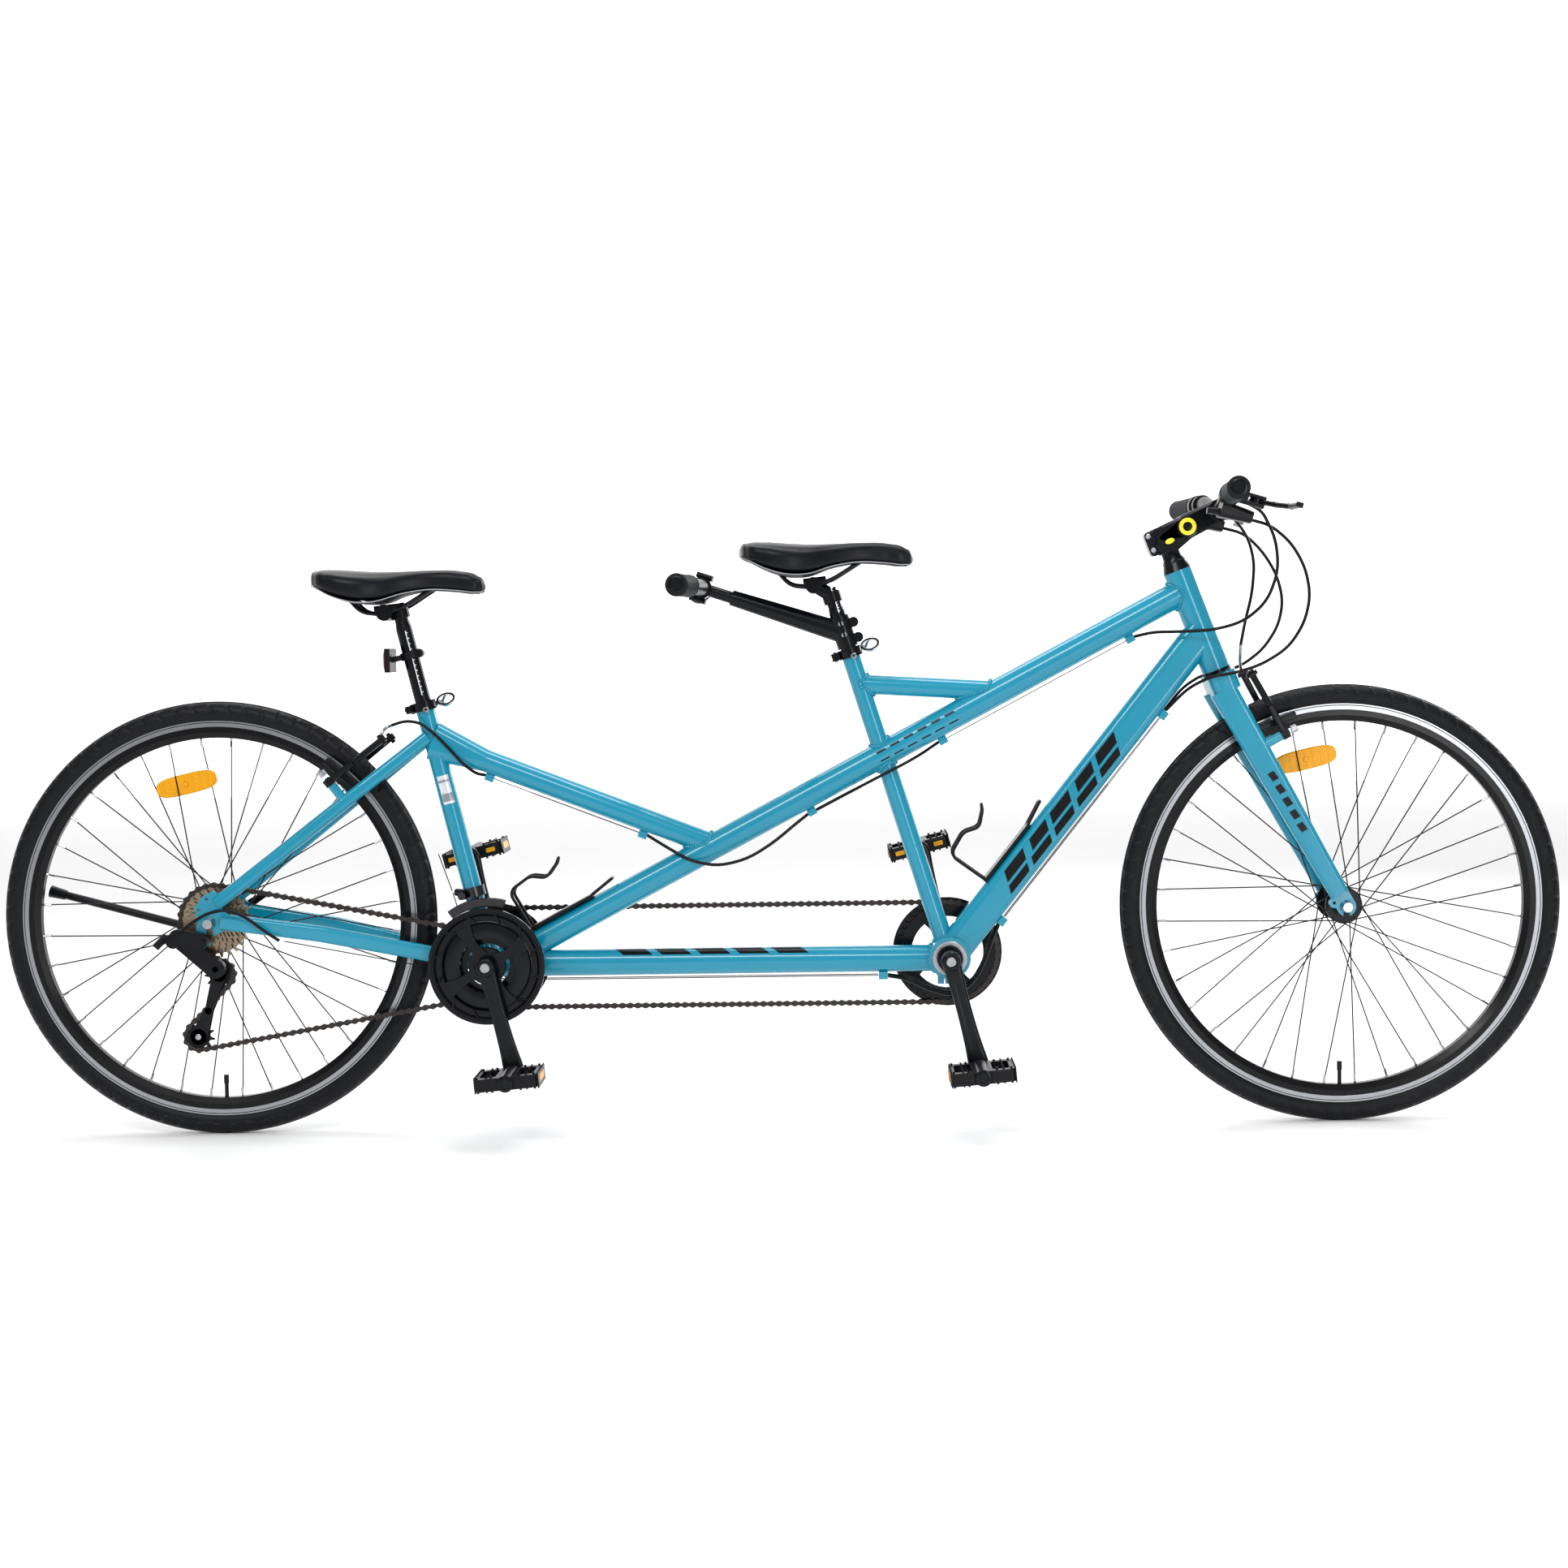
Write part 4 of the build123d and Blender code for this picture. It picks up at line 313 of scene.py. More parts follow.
nodeLooks = {
    "framePaint": ["frame_tubes", "bracket_shells", "rear_stays", "rear_dropouts", "fork"],
    "blackGloss": ["bearing_cups", "seat_collars", "stem", "stoker_stem", "captain_seatpost",
                   "stoker_seatpost", "stoker_cranks", "captain_cranks", "chainrings", "rear_timing_ring",
                   "front_timing_ring"],
    "blackSatin": ["handlebar", "stoker_handlebar", "bottle_cages", "brake_lever_left",
                   "brake_lever_right", "front_brake_arm_left", "front_brake_arm_right",
                   "rear_brake_arm_left", "rear_brake_arm_right", "kickstand", "rear_derailleur",
                   "derailleur_cage", "front_axle_lever", "rear_axle_lever", "front_hub", "rear_hub"],
    "blackPlastic": ["control_pods", "stoker_pedal_right", "stoker_pedal_left", "captain_pedal_right",
                     "captain_pedal_left", "guide_pulley", "tension_pulley", "rear_reflector"],
    "gripRubber": ["handlebar_grips", "stoker_grips"],
    "tyreRubber": ["front_tyre", "rear_tyre"],
    "saddleCover": ["captain_saddle", "stoker_saddle"],
    "rimBlack": ["front_rim", "rear_rim"],
    "spokeBlack": ["front_spokes", "rear_spokes"],
    "chainSteel": ["drive_chain", "timing_chain"],
    "cogSteel": ["cassette"],
    "darkChrome": ["front_derailleur"],
    "alloy": ["rear_axle", "front_axle"],
    "chrome": ["captain_seat_lever", "stoker_seat_lever"],
    "cableJacket": ["front_cables", "frame_cables"],
}
for look, names in nodeLooks.items():
    for name in names:
        mesh = nodes[name].data
        mesh.materials.clear()
        mesh.materials.append(paint[look])
        mesh.polygons.foreach_set("material_index", np.zeros(len(mesh.polygons), np.int32))
print("materials made:", len(paint))

# places shared by several pieces, in metres
rearHub = np.array([-0.8906, 0, 0.347])
frontHub = np.array([0.8906, 0, 0.347])
rearBracket = np.array([-0.4582, 0, 0.271])
frontBracket = np.array([0.27205, 0, 0.271])
headBottom = np.array([0.6982, 0, 0.7199])
headTop = np.array([0.6385, 0, 0.8762])
captainTop = np.array([0.1211, 0, 0.7569])
stokerTop = np.array([-0.5567, 0, 0.6827])
headUp = unit(headTop - headBottom)
captainUp = unit(captainTop - frontBracket)
stokerUp = unit(stokerTop - rearBracket)
mainStart = rearBracket + (0, 0, -0.008)
mainEnd = headTop - headUp * 0.033
downEnd = headBottom + headUp * 0.063
boomStart = rearBracket + (0, 0, -0.003)
boomEnd = frontBracket + (0, 0, -0.003)
topStart = stokerTop - stokerUp * 0.059
topEnd = np.array([-0.09, 0, 0.449])
braceStart = captainTop - captainUp * 0.054
braceEnd = np.array([0.345, 0, 0.692])


# saddles
saddle = {
    "reach": [0, 4, 14, 40, 80, 110, 145, 190, 235, 262, 272, 274.5],
    "halfWidth": [6, 34, 58, 77, 80, 69, 46, 28, 21.5, 18, 12, 3],
    "top": [2, 9.5, 13, 14.2, 11.6, 10, 10.6, 12, 9.5, 2, -7, -14],
    "bottom": [-8, -11, -15, -28, -39, -38, -27, -20, -22.5, -25, -23, -19],
    "crown": 0.62,
    "hollow": 3.0,
    "lengthSteps": 120,
    "roundSteps": 72,
}


def saddleShape(tail, part):
    # half width, top and lower edge follow the length; round each section the upper side is a
    # superellipse crown down to a rolled edge, and the lower side is drawn in under it
    t = np.linspace(0, saddle["reach"][-1], saddle["lengthSteps"])
    t = saddle["reach"][-1] * (0.5 - 0.5 * np.cos(np.pi * t / t[-1]))
    halfWidth, top, bottom = (smoothKeys(saddle["reach"], saddle[k], t)[:, None]
                              for k in ("halfWidth", "top", "bottom"))
    halfWidth = np.maximum(halfWidth, 2)
    angle = np.linspace(0, 2 * np.pi, saddle["roundSteps"], endpoint=False)[None, :]
    c, s = np.cos(angle), np.sin(angle)
    widest = bottom + (top - bottom) * 0.36
    upper = s >= 0
    y = halfWidth * np.sign(c) * np.abs(c) ** np.where(upper, 0.78, 0.55)
    high = widest + (top - widest) * np.abs(s) ** saddle["crown"]
    low = widest - (widest - bottom) * np.abs(s) ** 0.45 * (1 - 0.25 * (1 - np.abs(c)) * (halfWidth > 40))
    z = np.where(upper, high, low)
    groove = -saddle["hollow"] * np.exp(-(y / 13) ** 2) * np.exp(-((t[:, None] - 120) / 70) ** 2)
    z = z + np.where(upper, groove, 0)
    side = np.where(upper, 1 - 0.05 * (1 - s), 0.95 - 0.06 * np.abs(s))
    y = y * side
    if part == "shell":
        inset = 0.93
        y = y * inset
        z = np.where(upper, bottom + 1.5, bottom - 2.2 * np.abs(s) ** 0.5)
        t = 3 + t * 0.97
    x = np.broadcast_to(t[:, None], y.shape)
    points = np.stack([x, y, z], -1) / 1000 + np.asarray(tail)
    ends = [np.repeat(points[k].mean(axis=0)[None, None], points.shape[1], axis=1) for k in (0, -1)]
    return gridShape(np.concatenate([ends[0], points, ends[1]]), wrapCols=True)


def pipingPath(tail, hand):
    t = np.linspace(3, saddle["reach"][-1] - 3, 90)
    halfWidth = smoothKeys(saddle["reach"], saddle["halfWidth"], t)
    bottom = smoothKeys(saddle["reach"], saddle["bottom"], t)
    points = np.stack([t, hand * halfWidth * 0.895, bottom + 0.4], -1) / 1000
    return points + np.asarray(tail)


captainTail = np.array([-0.0515, 0, 0.917])
stokerTail = np.array([-0.729, 0, 0.885])
for who, tail in (("captain", captainTail), ("stoker", stokerTail)):
    body = f"{who}_seat"
    cover = addPiece(f"{who}SaddleCover", [saddleShape(tail, "cover")], paint["saddleCover"], body, sharp=60)
    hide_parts(f"{who}_saddle")
    addPiece(f"{who}SaddleShell", [saddleShape(tail, "shell")], paint["saddleShell"], body)
    piping = [tubeShape(pipingPath(tail, hand), 0.0009, 8, across=(0, 0, 1)) for hand in (-1, 1)]
    addPiece(f"{who}SaddlePiping", piping, paint["piping"], body)
print("saddles made")

# tyres
tyre = {
    "section": 0.0185,
    "middle": 0.3285,
    "blocks": 76,
    "treadDepth": 0.0014,
    "aroundSteps": 912,
    "sectionSteps": 44,
    "bead": 0.0108,
}


def tyreShape(hub):
    # a round section from one bead to the other, carried round the hub; blocks stand out
    # of it, divided by slanted grooves at the shoulder and two lines round the crown
    start = math.asin(tyre["bead"] / tyre["section"])
    turn = np.linspace(-np.pi / 2 - (np.pi / 2 - start), np.pi / 2 + (np.pi / 2 - start),
                       tyre["sectionSteps"])[None, :]
    angle = np.linspace(0, 2 * np.pi, tyre["aroundSteps"], endpoint=False)[:, None]
    lean = np.abs(turn) / (np.pi / 2)
    slant = np.sign(turn) * 1.4 * np.sin(lean * np.pi)
    wave = np.cos(angle * tyre["blocks"] + slant)
    shoulder = np.clip((1.06 - lean) / 0.08, 0, 1) * np.clip((lean - 0.2) / 0.05, 0, 1)
    groove = np.clip((wave - 0.72) / 0.1, 0, 1) * shoulder
    crownLine = np.exp(-((lean - 0.2) / 0.035) ** 2)
    scallop = 0.5 + 0.5 * np.cos(angle * tyre["blocks"] / 2)
    edge = np.clip((0.92 + 0.12 * scallop - lean) / 0.02, 0, 1)
    height = tyre["treadDepth"] * (edge - np.maximum(groove, crownLine) * edge)
    beadLine = 0.0004 * np.exp(-((lean - 1.42) / 0.03) ** 2)
    reach = tyre["section"] - tyre["treadDepth"] + height + beadLine
    out = tyre["middle"] + reach * np.cos(turn)
    y = reach * np.sin(turn) * np.ones_like(angle)
    points = np.stack([np.cos(angle) * out, y, np.sin(angle) * out], -1) + hub
    inner = points[:, ::-1] + 0
    centre = np.stack([np.cos(angle) * tyre["middle"], 0 * angle, np.sin(angle) * tyre["middle"]], -1) + hub
    inner = centre + (inner - centre) * 0.84
    return gridShape(np.concatenate([points, inner], axis=1), wrapRows=True, wrapCols=True)


for which, hub in (("front", frontHub), ("rear", rearHub)):
    rubber = addPiece(f"{which}Tread", [tyreShape(hub)], paint["tyreRubber"], f"{which}_wheel", sharp=28)
    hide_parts(f"{which}_tyre")
print("tyres made")

# rims: two bright bands of brake track on each side, and the nipples
rim = {"bands": ((0.3068, 0.3134), (0.3142, 0.3168)), "face": 0.01202, "skin": 0.00035, "spokes": 36}
for which, hub in (("front", frontHub), ("rear", rearHub)):
    tracks = []
    for hand in (-1, 1):
        y0, y1 = hand * rim["face"], hand * (rim["face"] + rim["skin"])
        for low, high in rim["bands"]:
            tracks.append(turnedShape([(y0, low), (y1, low + 0.0003), (y1, high - 0.0003), (y0, high)],
                                      hub, across, 160))
    addPiece(f"{which}BrakeTrack", tracks, paint["brakeTrack"], f"{which}_wheel")
    nippleSteps = np.radians(5 + 10 * np.arange(rim["spokes"]))
    nipples = []
    for k, turn in enumerate(nippleSteps):
        outward = np.array([math.cos(turn), 0, math.sin(turn)])
        foot = hub + outward * 0.2755 + across * (0.0028 if k % 2 else -0.0028)
        nipples.append(turnedShape([(0, 0.0012), (0, 0.0019), (0.0135, 0.0021), (0.0135, 0.0012)], foot,
                                   outward, 8))
    addPiece(f"{which}Nipples", nipples, paint["alloy"], f"{which}_wheel")
print("rims made")


# weld beads
weld = {"radius": 0.0026, "ripple": 0.0007, "steps": 220, "pitch": 0.0042}


def weldRing(start, end, radius, otherStart, otherEnd, otherRadius, tall=1.0):
    # each side line of the tube is followed to where it meets the other tube's round wall
    start, end = np.asarray(start, float), np.asarray(end, float)
    along = unit(end - start)
    otherAlong = unit(np.asarray(otherEnd, float) - np.asarray(otherStart, float))
    first, second = sideways(along)
    angle = np.linspace(0, 2 * np.pi, weld["steps"], endpoint=False)[:, None]
    rim0 = start + radius * (np.cos(angle) * first * tall + np.sin(angle) * second)
    gap = rim0 - otherStart
    gapFlat = gap - (gap @ otherAlong)[:, None] * otherAlong
    alongFlat = along - (along @ otherAlong) * otherAlong
    a = alongFlat @ alongFlat
    b = gapFlat @ alongFlat
    c = (gapFlat**2).sum(1) - otherRadius**2
    root = np.sqrt(np.maximum(b * b - a * c, 0))
    near = (-b - root) / a
    path = rim0 + near[:, None] * along
    steps = np.linalg.norm(np.roll(path, -1, axis=0) - path, axis=1)
    reach = np.cumsum(steps)
    ripple = weld["ripple"] * np.cos(2 * np.pi * np.round(reach[-1] / weld["pitch"]) * reach / reach[-1])
    tangent = unit(np.roll(path, -1, axis=0) - np.roll(path, 1, axis=0))
    outward = unit(path - (start + ((path - start) @ along)[:, None] * along))
    third = np.cross(tangent, outward)
    turn = np.linspace(0, 2 * np.pi, 10, endpoint=False)[None, :, None]
    size = (weld["radius"] + ripple)[:, None, None]
    points = path[:, None] + size * (np.cos(turn) * outward[:, None] + np.sin(turn) * third[:, None])
    return gridShape(points, wrapRows=True, wrapCols=True)


tubes = {
    "head": (headBottom, headTop, 0.0225), "main": (mainStart, mainEnd, 0.021),
    "boom": (boomStart, boomEnd, 0.021),
    "captain": (frontBracket, captainTop, 0.015), "stoker": (rearBracket, stokerTop, 0.015),
    "brace": (braceStart, braceEnd, 0.0155), "top": (topStart, topEnd, 0.018),
    "frontShell": (frontBracket - across, frontBracket + across, 0.033),
    "rearShell": (rearBracket - across, rearBracket + across, 0.022),
}


def joint(tube, other, fromEnd=False, tall=1.0):
    start, end, radius = tubes[tube]
    if fromEnd:
        start, end = end, start
    otherStart, otherEnd, otherRadius = tubes[other]
    middle = start + (end - start) * 0.5
    return weldRing(middle, start, radius + 0.0004, otherStart, otherEnd, otherRadius + 0.0004, tall)


beads = [
    joint("main", "head", True), joint("boom", "frontShell", True), joint("boom", "rearShell"),
    joint("main", "rearShell"), joint("captain", "frontShell"), joint("stoker", "rearShell"),
    joint("top", "main", True), joint("brace", "main", True), joint("brace", "captain"),
    joint("captain", "main"), joint("captain", "main", True),
]
addPiece("weldBeads", beads, paint["weldPaint"], "frame")
print("welds made")

def blockShape(centre, right, up, halfLength, halfHeight, thickness, corner=0.3, edge=0.1, steps=24):
    # rounded oblong plate: a superellipse outline in six layers, drawn in at both faces
    t = (np.arange(steps) + 0.5) * 2 * np.pi / steps
    outline = np.stack([np.sign(np.cos(t)) * np.abs(np.cos(t)) ** corner,
                        np.sign(np.sin(t)) * np.abs(np.sin(t)) ** corner], -1)
    right, up = unit(right), unit(up)
    out = np.cross(right, up)
    bevel = edge * min(halfLength, halfHeight)
    rings = []
    for lift, inset in ((-0.5, 1), (-0.5, bevel), (-0.5, 0), (0.5, 0), (0.5, bevel), (0.5, 1)):
        rise = lift * thickness
        if inset == 0:
            rise -= np.sign(lift) * bevel
        size = (0, 0) if inset == 1 else (halfLength - inset, halfHeight - inset)
        rings.append(centre + rise * out + outline[:, :1] * size[0] * right + outline[:, 1:] * size[1] * up)
    return gridShape(np.stack(rings), wrapCols=True)


def skinShape(start, along, radius, span, turn, slant=0.0, lift=0.00022, steps=(12, 10)):
    # a thin skin on a round tube: span is the distance along it, turn the angle round it in
    # degrees, 0 at the right side and 90 on top; slant shifts its far edge along the tube
    along = unit(along)
    top = np.cross(-across, along)
    d = np.linspace(*span, steps[0])[:, None, None]
    a = np.radians(np.linspace(*turn, steps[1]))[None, :, None]
    shift = slant * (a - a.mean())
    outer = start + along * (d + shift) + (radius + lift) * (np.sin(a) * top - np.cos(a) * across)
    inner = start + along * (d + shift) + (radius - 0.0003) * (np.sin(a) * top - np.cos(a) * across)
    return gridShape(np.concatenate([outer, inner[:, ::-1]], axis=1), wrapCols=True, caps=True)


# reflectors, whose amber lenses carry a faint painted glow
reflector = {"halfLength": 0.049, "halfHeight": 0.0165, "thickness": 0.012}
for which, hub, centre in (("front", frontHub, (0.838, 0.576)), ("rear", rearHub, (-0.940, 0.563))):
    middle = np.array([centre[0], 0, centre[1]])
    reach = unit(middle - hub)
    side = np.array([reach[2], 0, -reach[0]])
    long, tall, thick = reflector["halfLength"], reflector["halfHeight"], reflector["thickness"]
    lens = [blockShape(middle, side, reach, long, tall, thick, corner=0.62, edge=0.12, steps=48)]
    addPiece(f"{which}WheelReflector", lens, paint["amberLensPaintedGlow"], f"{which}_wheel")
    ribs = [blockShape(middle + side * k * 0.012, side, reach, 0.0009, tall * 0.8 * (1 - (abs(k) / 4.6) ** 3),
                       thick + 0.0012, corner=0.3) for k in range(-3, 4)]
    addPiece(f"{which}ReflectorRibs", ribs, paint["amberLensPaintedGlow"], f"{which}_wheel")
    clip = [turnedShape([(-0.0085, 0), (-0.0085, 0.0035), (-0.007, 0.0045), (0.007, 0.0045), (0.0085, 0.0035),
                         (0.0085, 0)], middle, across, 16)]
    addPiece(f"{which}ReflectorClip", clip, paint["amberLensPaintedGlow"], f"{which}_wheel")

# chains
chain = {"pitch": 0.0127, "plate": 0.0011, "wide": 0.0047, "waist": 0.0023, "roller": 0.0038}


def pitchRadius(teeth):
    # the radius of the circle whose length is that many pitches
    return teeth * chain["pitch"] / (2 * math.pi)


def chainLine(wheels):
    # tangents from each wheel to the next, then the arc held on each wheel
    leaves = []
    for k, (centre, radius, turn) in enumerate(wheels):
        nextCentre, nextRadius, nextTurn = wheels[(k + 1) % len(wheels)]
        gap = nextCentre - centre
        lean = math.acos((turn * radius - nextTurn * nextRadius) / np.linalg.norm(gap))
        leaves.append(math.atan2(gap[2], gap[0]) - lean)
    line = []
    for k, (centre, radius, turn) in enumerate(wheels):
        swept = (turn * (leaves[k] - leaves[k - 1])) % (2 * math.pi)
        angle = leaves[k - 1] + turn * np.linspace(0, swept, 160)
        line.append(np.stack([centre[0] + turn * radius * np.cos(angle), 0 * angle,
                              centre[2] + turn * radius * np.sin(angle)], -1))
    return np.concatenate(line + [line[0][:1]])


def manyPrisms(layers):
    # closed prisms from places indexed by (prism, lower or upper layer, corner)
    count, _, n = layers.shape[:3]
    base = (np.arange(count) * 2 * n)[:, None, None]
    k = np.arange(n)
    walls = np.stack([k, (k + 1) % n, (k + 1) % n + n, k + n], -1)[None] + base
    caps = np.stack([k[::-1], k + n])[None] + base
    return layers.reshape(-1, 3), walls.reshape(-1, 4).tolist() + caps.reshape(-1, n).tolist()


def chainShapes(wheels, links, y):
    # pins one pitch apart along the line; each pair of pins carries two waisted plates
    line = chainLine(wheels)
    reach = np.concatenate([[0], np.cumsum(np.linalg.norm(np.diff(line, axis=0), axis=1))])
    want = np.arange(links) * reach[-1] / links
    pins = np.stack([np.interp(want, reach, line[:, k]) for k in range(3)], -1) + across * y
    ahead = np.roll(pins, -1, axis=0) - pins
    length = np.linalg.norm(ahead, axis=1)
    ahead = ahead / length[:, None]
    upward = np.cross(ahead, across)
    half = length.mean() / 2
    t = np.linspace(-0.5 * np.pi, 0.5 * np.pi, 7)
    right = np.stack([half + chain["wide"] * np.cos(t), chain["wide"] * np.sin(t)], -1)
    outline = np.concatenate([right, [[0, chain["waist"]]], -right, [[0, -chain["waist"]]]])
    shapes = []
    for hand in (-1, 1):
        layer = np.where(np.arange(links) % 2, 0.0021, 0.0034)[:, None, None] * hand
        centre = (pins + ahead * half)[:, None]
        flatPart = centre + outline[None, :, :1] * ahead[:, None] + outline[None, :, 1:] * upward[:, None]
        layers = np.stack([flatPart + across * (layer - chain["plate"] / 2),
                           flatPart + across * (layer + chain["plate"] / 2)], axis=1)
        shapes.append(manyPrisms(layers))
    turn = np.linspace(0, 2 * np.pi, 9)[:-1]
    for radius, wide in ((chain["roller"], 0.0015), (0.0018, 0.0046)):
        ring = radius * (np.cos(turn)[:, None, None] * ahead + np.sin(turn)[:, None, None] * upward)
        layers = np.stack([pins + ring - across * wide, pins + ring + across * wide]).transpose(2, 0, 1, 3)
        shapes.append(manyPrisms(layers))
    return shapes


guidePulley = np.array([-0.886, 0, 0.261])
tensionPulley = np.array([-0.92199, 0, 0.1625])
driveWheels = [(rearHub, pitchRadius(28), 1), (guidePulley, pitchRadius(11), -1),
               (tensionPulley, pitchRadius(11), 1), (rearBracket, pitchRadius(24), 1)]
timingWheels = [(rearBracket, pitchRadius(40), 1), (frontBracket, pitchRadius(40), 1)]
for name, wheels, links, y in (("drive", driveWheels, 114, -0.036), ("timing", timingWheels, 155, 0.048)):
    links = addPiece(f"{name}Links", chainShapes(wheels, links, y), paint["chainSteel"], "frame", sharp=40)
    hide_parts(f"{name}_chain")
print("chains made")

# cranks
crank = {
    "lean": math.radians(14.3),
    "reach": [-14.5, -12.5, -7, 0, 14, 50, 100, 145, 158, 170, 178, 182.5, 184],
    "halfWidth": [0.5, 8, 12.8, 14.5, 14, 12.3, 12.4, 14.6, 15.8, 15.5, 11.5, 5.5, 0.5],
    "halfThick": [5.5, 7, 7, 7, 7, 6.6, 6, 6, 6.4, 6.8, 6.8, 6.4, 5.5],
    "channel": 1.5,
}


def crankAxes(hand):
    # from the spindle to the pedal, and square to that in the side plane
    down = np.array([math.sin(crank["lean"]), 0, -math.cos(crank["lean"])]) * (1 if hand < 0 else -1)
    return down, np.cross(across, down)


def armShape(centre, hand):
    # half width and half thickness follow the distance from the spindle; each section is a
    # rounded oblong, with a shallow channel along its outer face
    down, side = crankAxes(hand)
    d = np.concatenate([np.linspace(-14.5, 0, 10), np.linspace(6, 160, 40), np.linspace(164, 184, 12)])
    wide = np.maximum(smoothKeys(crank["reach"], crank["halfWidth"], d), 0.5)[:, None]
    thick = smoothKeys(crank["reach"], crank["halfThick"], d)[:, None]
    turn = np.linspace(0, 2 * np.pi, 40, endpoint=False)[None, :]
    x = wide * np.sign(np.cos(turn)) * np.abs(np.cos(turn)) ** 0.55
    y = thick * np.sign(np.sin(turn)) * np.abs(np.sin(turn)) ** 0.5
    gate = np.clip((d - 24) / 8, 0, 1) * np.clip((150 - d) / 8, 0, 1)
    y = y - crank["channel"] * gate[:, None] * np.exp(-(x / 4.2) ** 4) * (np.sin(turn) > 0)
    points = (centre + across * hand * 0.070 + down * d[:, None, None] / 1000 + side * x[..., None] / 1000
              + across * hand * y[..., None] / 1000)
    return gridShape(points, wrapCols=True, caps=True)


def spiderShapes(centre, near, reach, lean, hand, extra=0.0):
    # four waisted arms from the boss to the rings; extra widens each arm on both sides
    shapes = []
    for k in range(4):
        turn = math.radians(lean + 90 * k)
        out = np.array([math.cos(turn), 0, math.sin(turn)])
        side = np.cross(across, out)
        t = np.linspace(0, 1, 14)
        half = (13 - 11 * np.sin(np.pi * np.clip(t * 1.15, 0, 1)) ** 0.8) * 0.5 + 3.4 + extra
        outline = np.concatenate([np.stack([18 + (reach - 18) * t, half], -1),
                                  np.stack([18 + (reach - 18) * t, -half], -1)[::-1]]) / 1000
        shapes.append(plateShape(outline, centre + across * near / 1000, out, -side * hand, 0.0044))
    return shapes


def millimetres(profile):
    # a profile written in millimetres, in metres
    return [(d / 1000, r / 1000) for d, r in profile]


def turnedMm(profile, centre, axis=across, steps=48):
    # the same as turnedShape for a profile written in millimetres
    return turnedShape(millimetres(profile), centre, axis, steps)


for who, centre in (("stoker", rearBracket), ("captain", frontBracket)):
    shapes = []
    for hand in (-1, 1):
        shapes.append(armShape(centre, hand))
        shapes.append(turnedMm([(44, 0), (44, 14), (45, 15.5), (70, 15.5), (77.5, 15), (79.4, 13.4),
                                (79.8, 12), (79.8, 9.6), (77.4, 9.2), (77.4, 0)], centre, across * hand))
    shapes += spiderShapes(centre, 49.4, 68, 31, 1)
    shapes.append(turnedMm([(49.2, 15), (49.2, 27), (53.4, 27), (53.8, 25), (53.8, 15), (49.2, 15)], centre))
    shapes.append(turnedMm([(-45, 0), (-45, 8.5), (45, 8.5), (45, 0)], centre))
    if who == "stoker":
        shapes += spiderShapes(centre, -54.4, 72, 31, 1, extra=2.5)
        shapes.append(turnedMm([(-50.2, 15), (-50.2, 30), (-54.6, 29), (-54.6, 15), (-50.2, 15)], centre))
        shapes.append(turnedMm([(-50.4, 44), (-50.4, 69), (-52.6, 69), (-53.6, 67), (-53.6, 46.5),
                                (-52.8, 44), (-50.4, 44)], centre, steps=96))
    arms = addPiece(f"{who}CrankArms", shapes, paint["crankBlack"], f"{who}_crankset", sharp=40)
    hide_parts(f"{who}_cranks")
    bolts = []
    for hand in (-1, 1):
        bolts.append(turnedMm([(77.2, 0), (77.2, 7.6), (79.4, 7.6), (80.2, 6.6), (80.2, 4), (78.4, 3.8),
                               (78.4, 0)],
                              centre, across * hand, 30))
        down, side = crankAxes(hand)
        tip = centre + down * 0.170
        bolts.append(turnedMm([(62.2, 0), (62.2, 6), (64, 6.5), (64, 0)], tip, across * hand, 24))
    addPiece(f"{who}CrankBolts", bolts, paint["alloy"], f"{who}_crankset")
print("cranks made")

# chain guard and rings
guard = {"ribs": 12, "ribIn": 0.0715, "ribOut": 0.0835, "sweep": 8.0, "boltCircle": 0.062}
ribs = []
for k in range(guard["ribs"]):
    turn0 = math.radians(12 + 360 / guard["ribs"] * k)
    turn1 = turn0 + math.radians(guard["sweep"])
    spread = np.linspace(0, 1, 8)
    reach = guard["ribIn"] + (guard["ribOut"] - guard["ribIn"]) * spread
    turn = turn0 + (turn1 - turn0) * spread
    path = rearBracket + np.stack([reach * np.cos(turn), 0 * turn - 0.0576, reach * np.sin(turn)], -1)
    ribs.append(tubeShape(path, 0.0022, 8, flat=1.5))
ribs.append(turnedMm([(-57, 86.2), (-61.1, 86.2), (-61.9, 87), (-61.9, 91), (-61.1, 91.9), (-57, 91.9),
                      (-57, 86.2)],
                     rearBracket, steps=120))
ribs.append(turnedMm([(-56.8, 70.1), (-58.6, 70.3), (-59.2, 71), (-58.8, 72), (-56.8, 72.4), (-56.8, 70.1)],
                     rearBracket, steps=120))
addPiece("guardRibs", ribs, paint["blackGloss"], "stoker_crankset")
ringBolts = []
for k in range(4):
    turn = math.radians(31 + 90 * k)
    reach = np.array([math.cos(turn), 0, math.sin(turn)]) * guard["boltCircle"]
    ringBolts.append(hexBolt(rearBracket + reach - across * 0.0544, -across, 0.0052, 0.0022))
    ringBolts.append(hexBolt(rearBracket + reach + across * 0.0535, across, 0.0052, 0.0022))
    addPiece(f"captainRingBolt{k}", [hexBolt(frontBracket + reach + across * 0.0535, across, 0.0052, 0.0022)],
             paint["alloy"], "captain_crankset")
addPiece("stokerRingBolts", ringBolts, paint["blackSatin"], "stoker_crankset")
faceProfile = [(33.9, 19.5), (35, 19.8), (35.2, 21), (35.2, 26.5), (34.6, 27.2), (33.9, 27.2), (33.9, 19.5)]
faces = [turnedMm([(hand * d, r) for d, r in faceProfile], frontBracket) for hand in (-1, 1)]
addPiece("insertFaces", faces, paint["alloy"], "frame")
print("guard made")

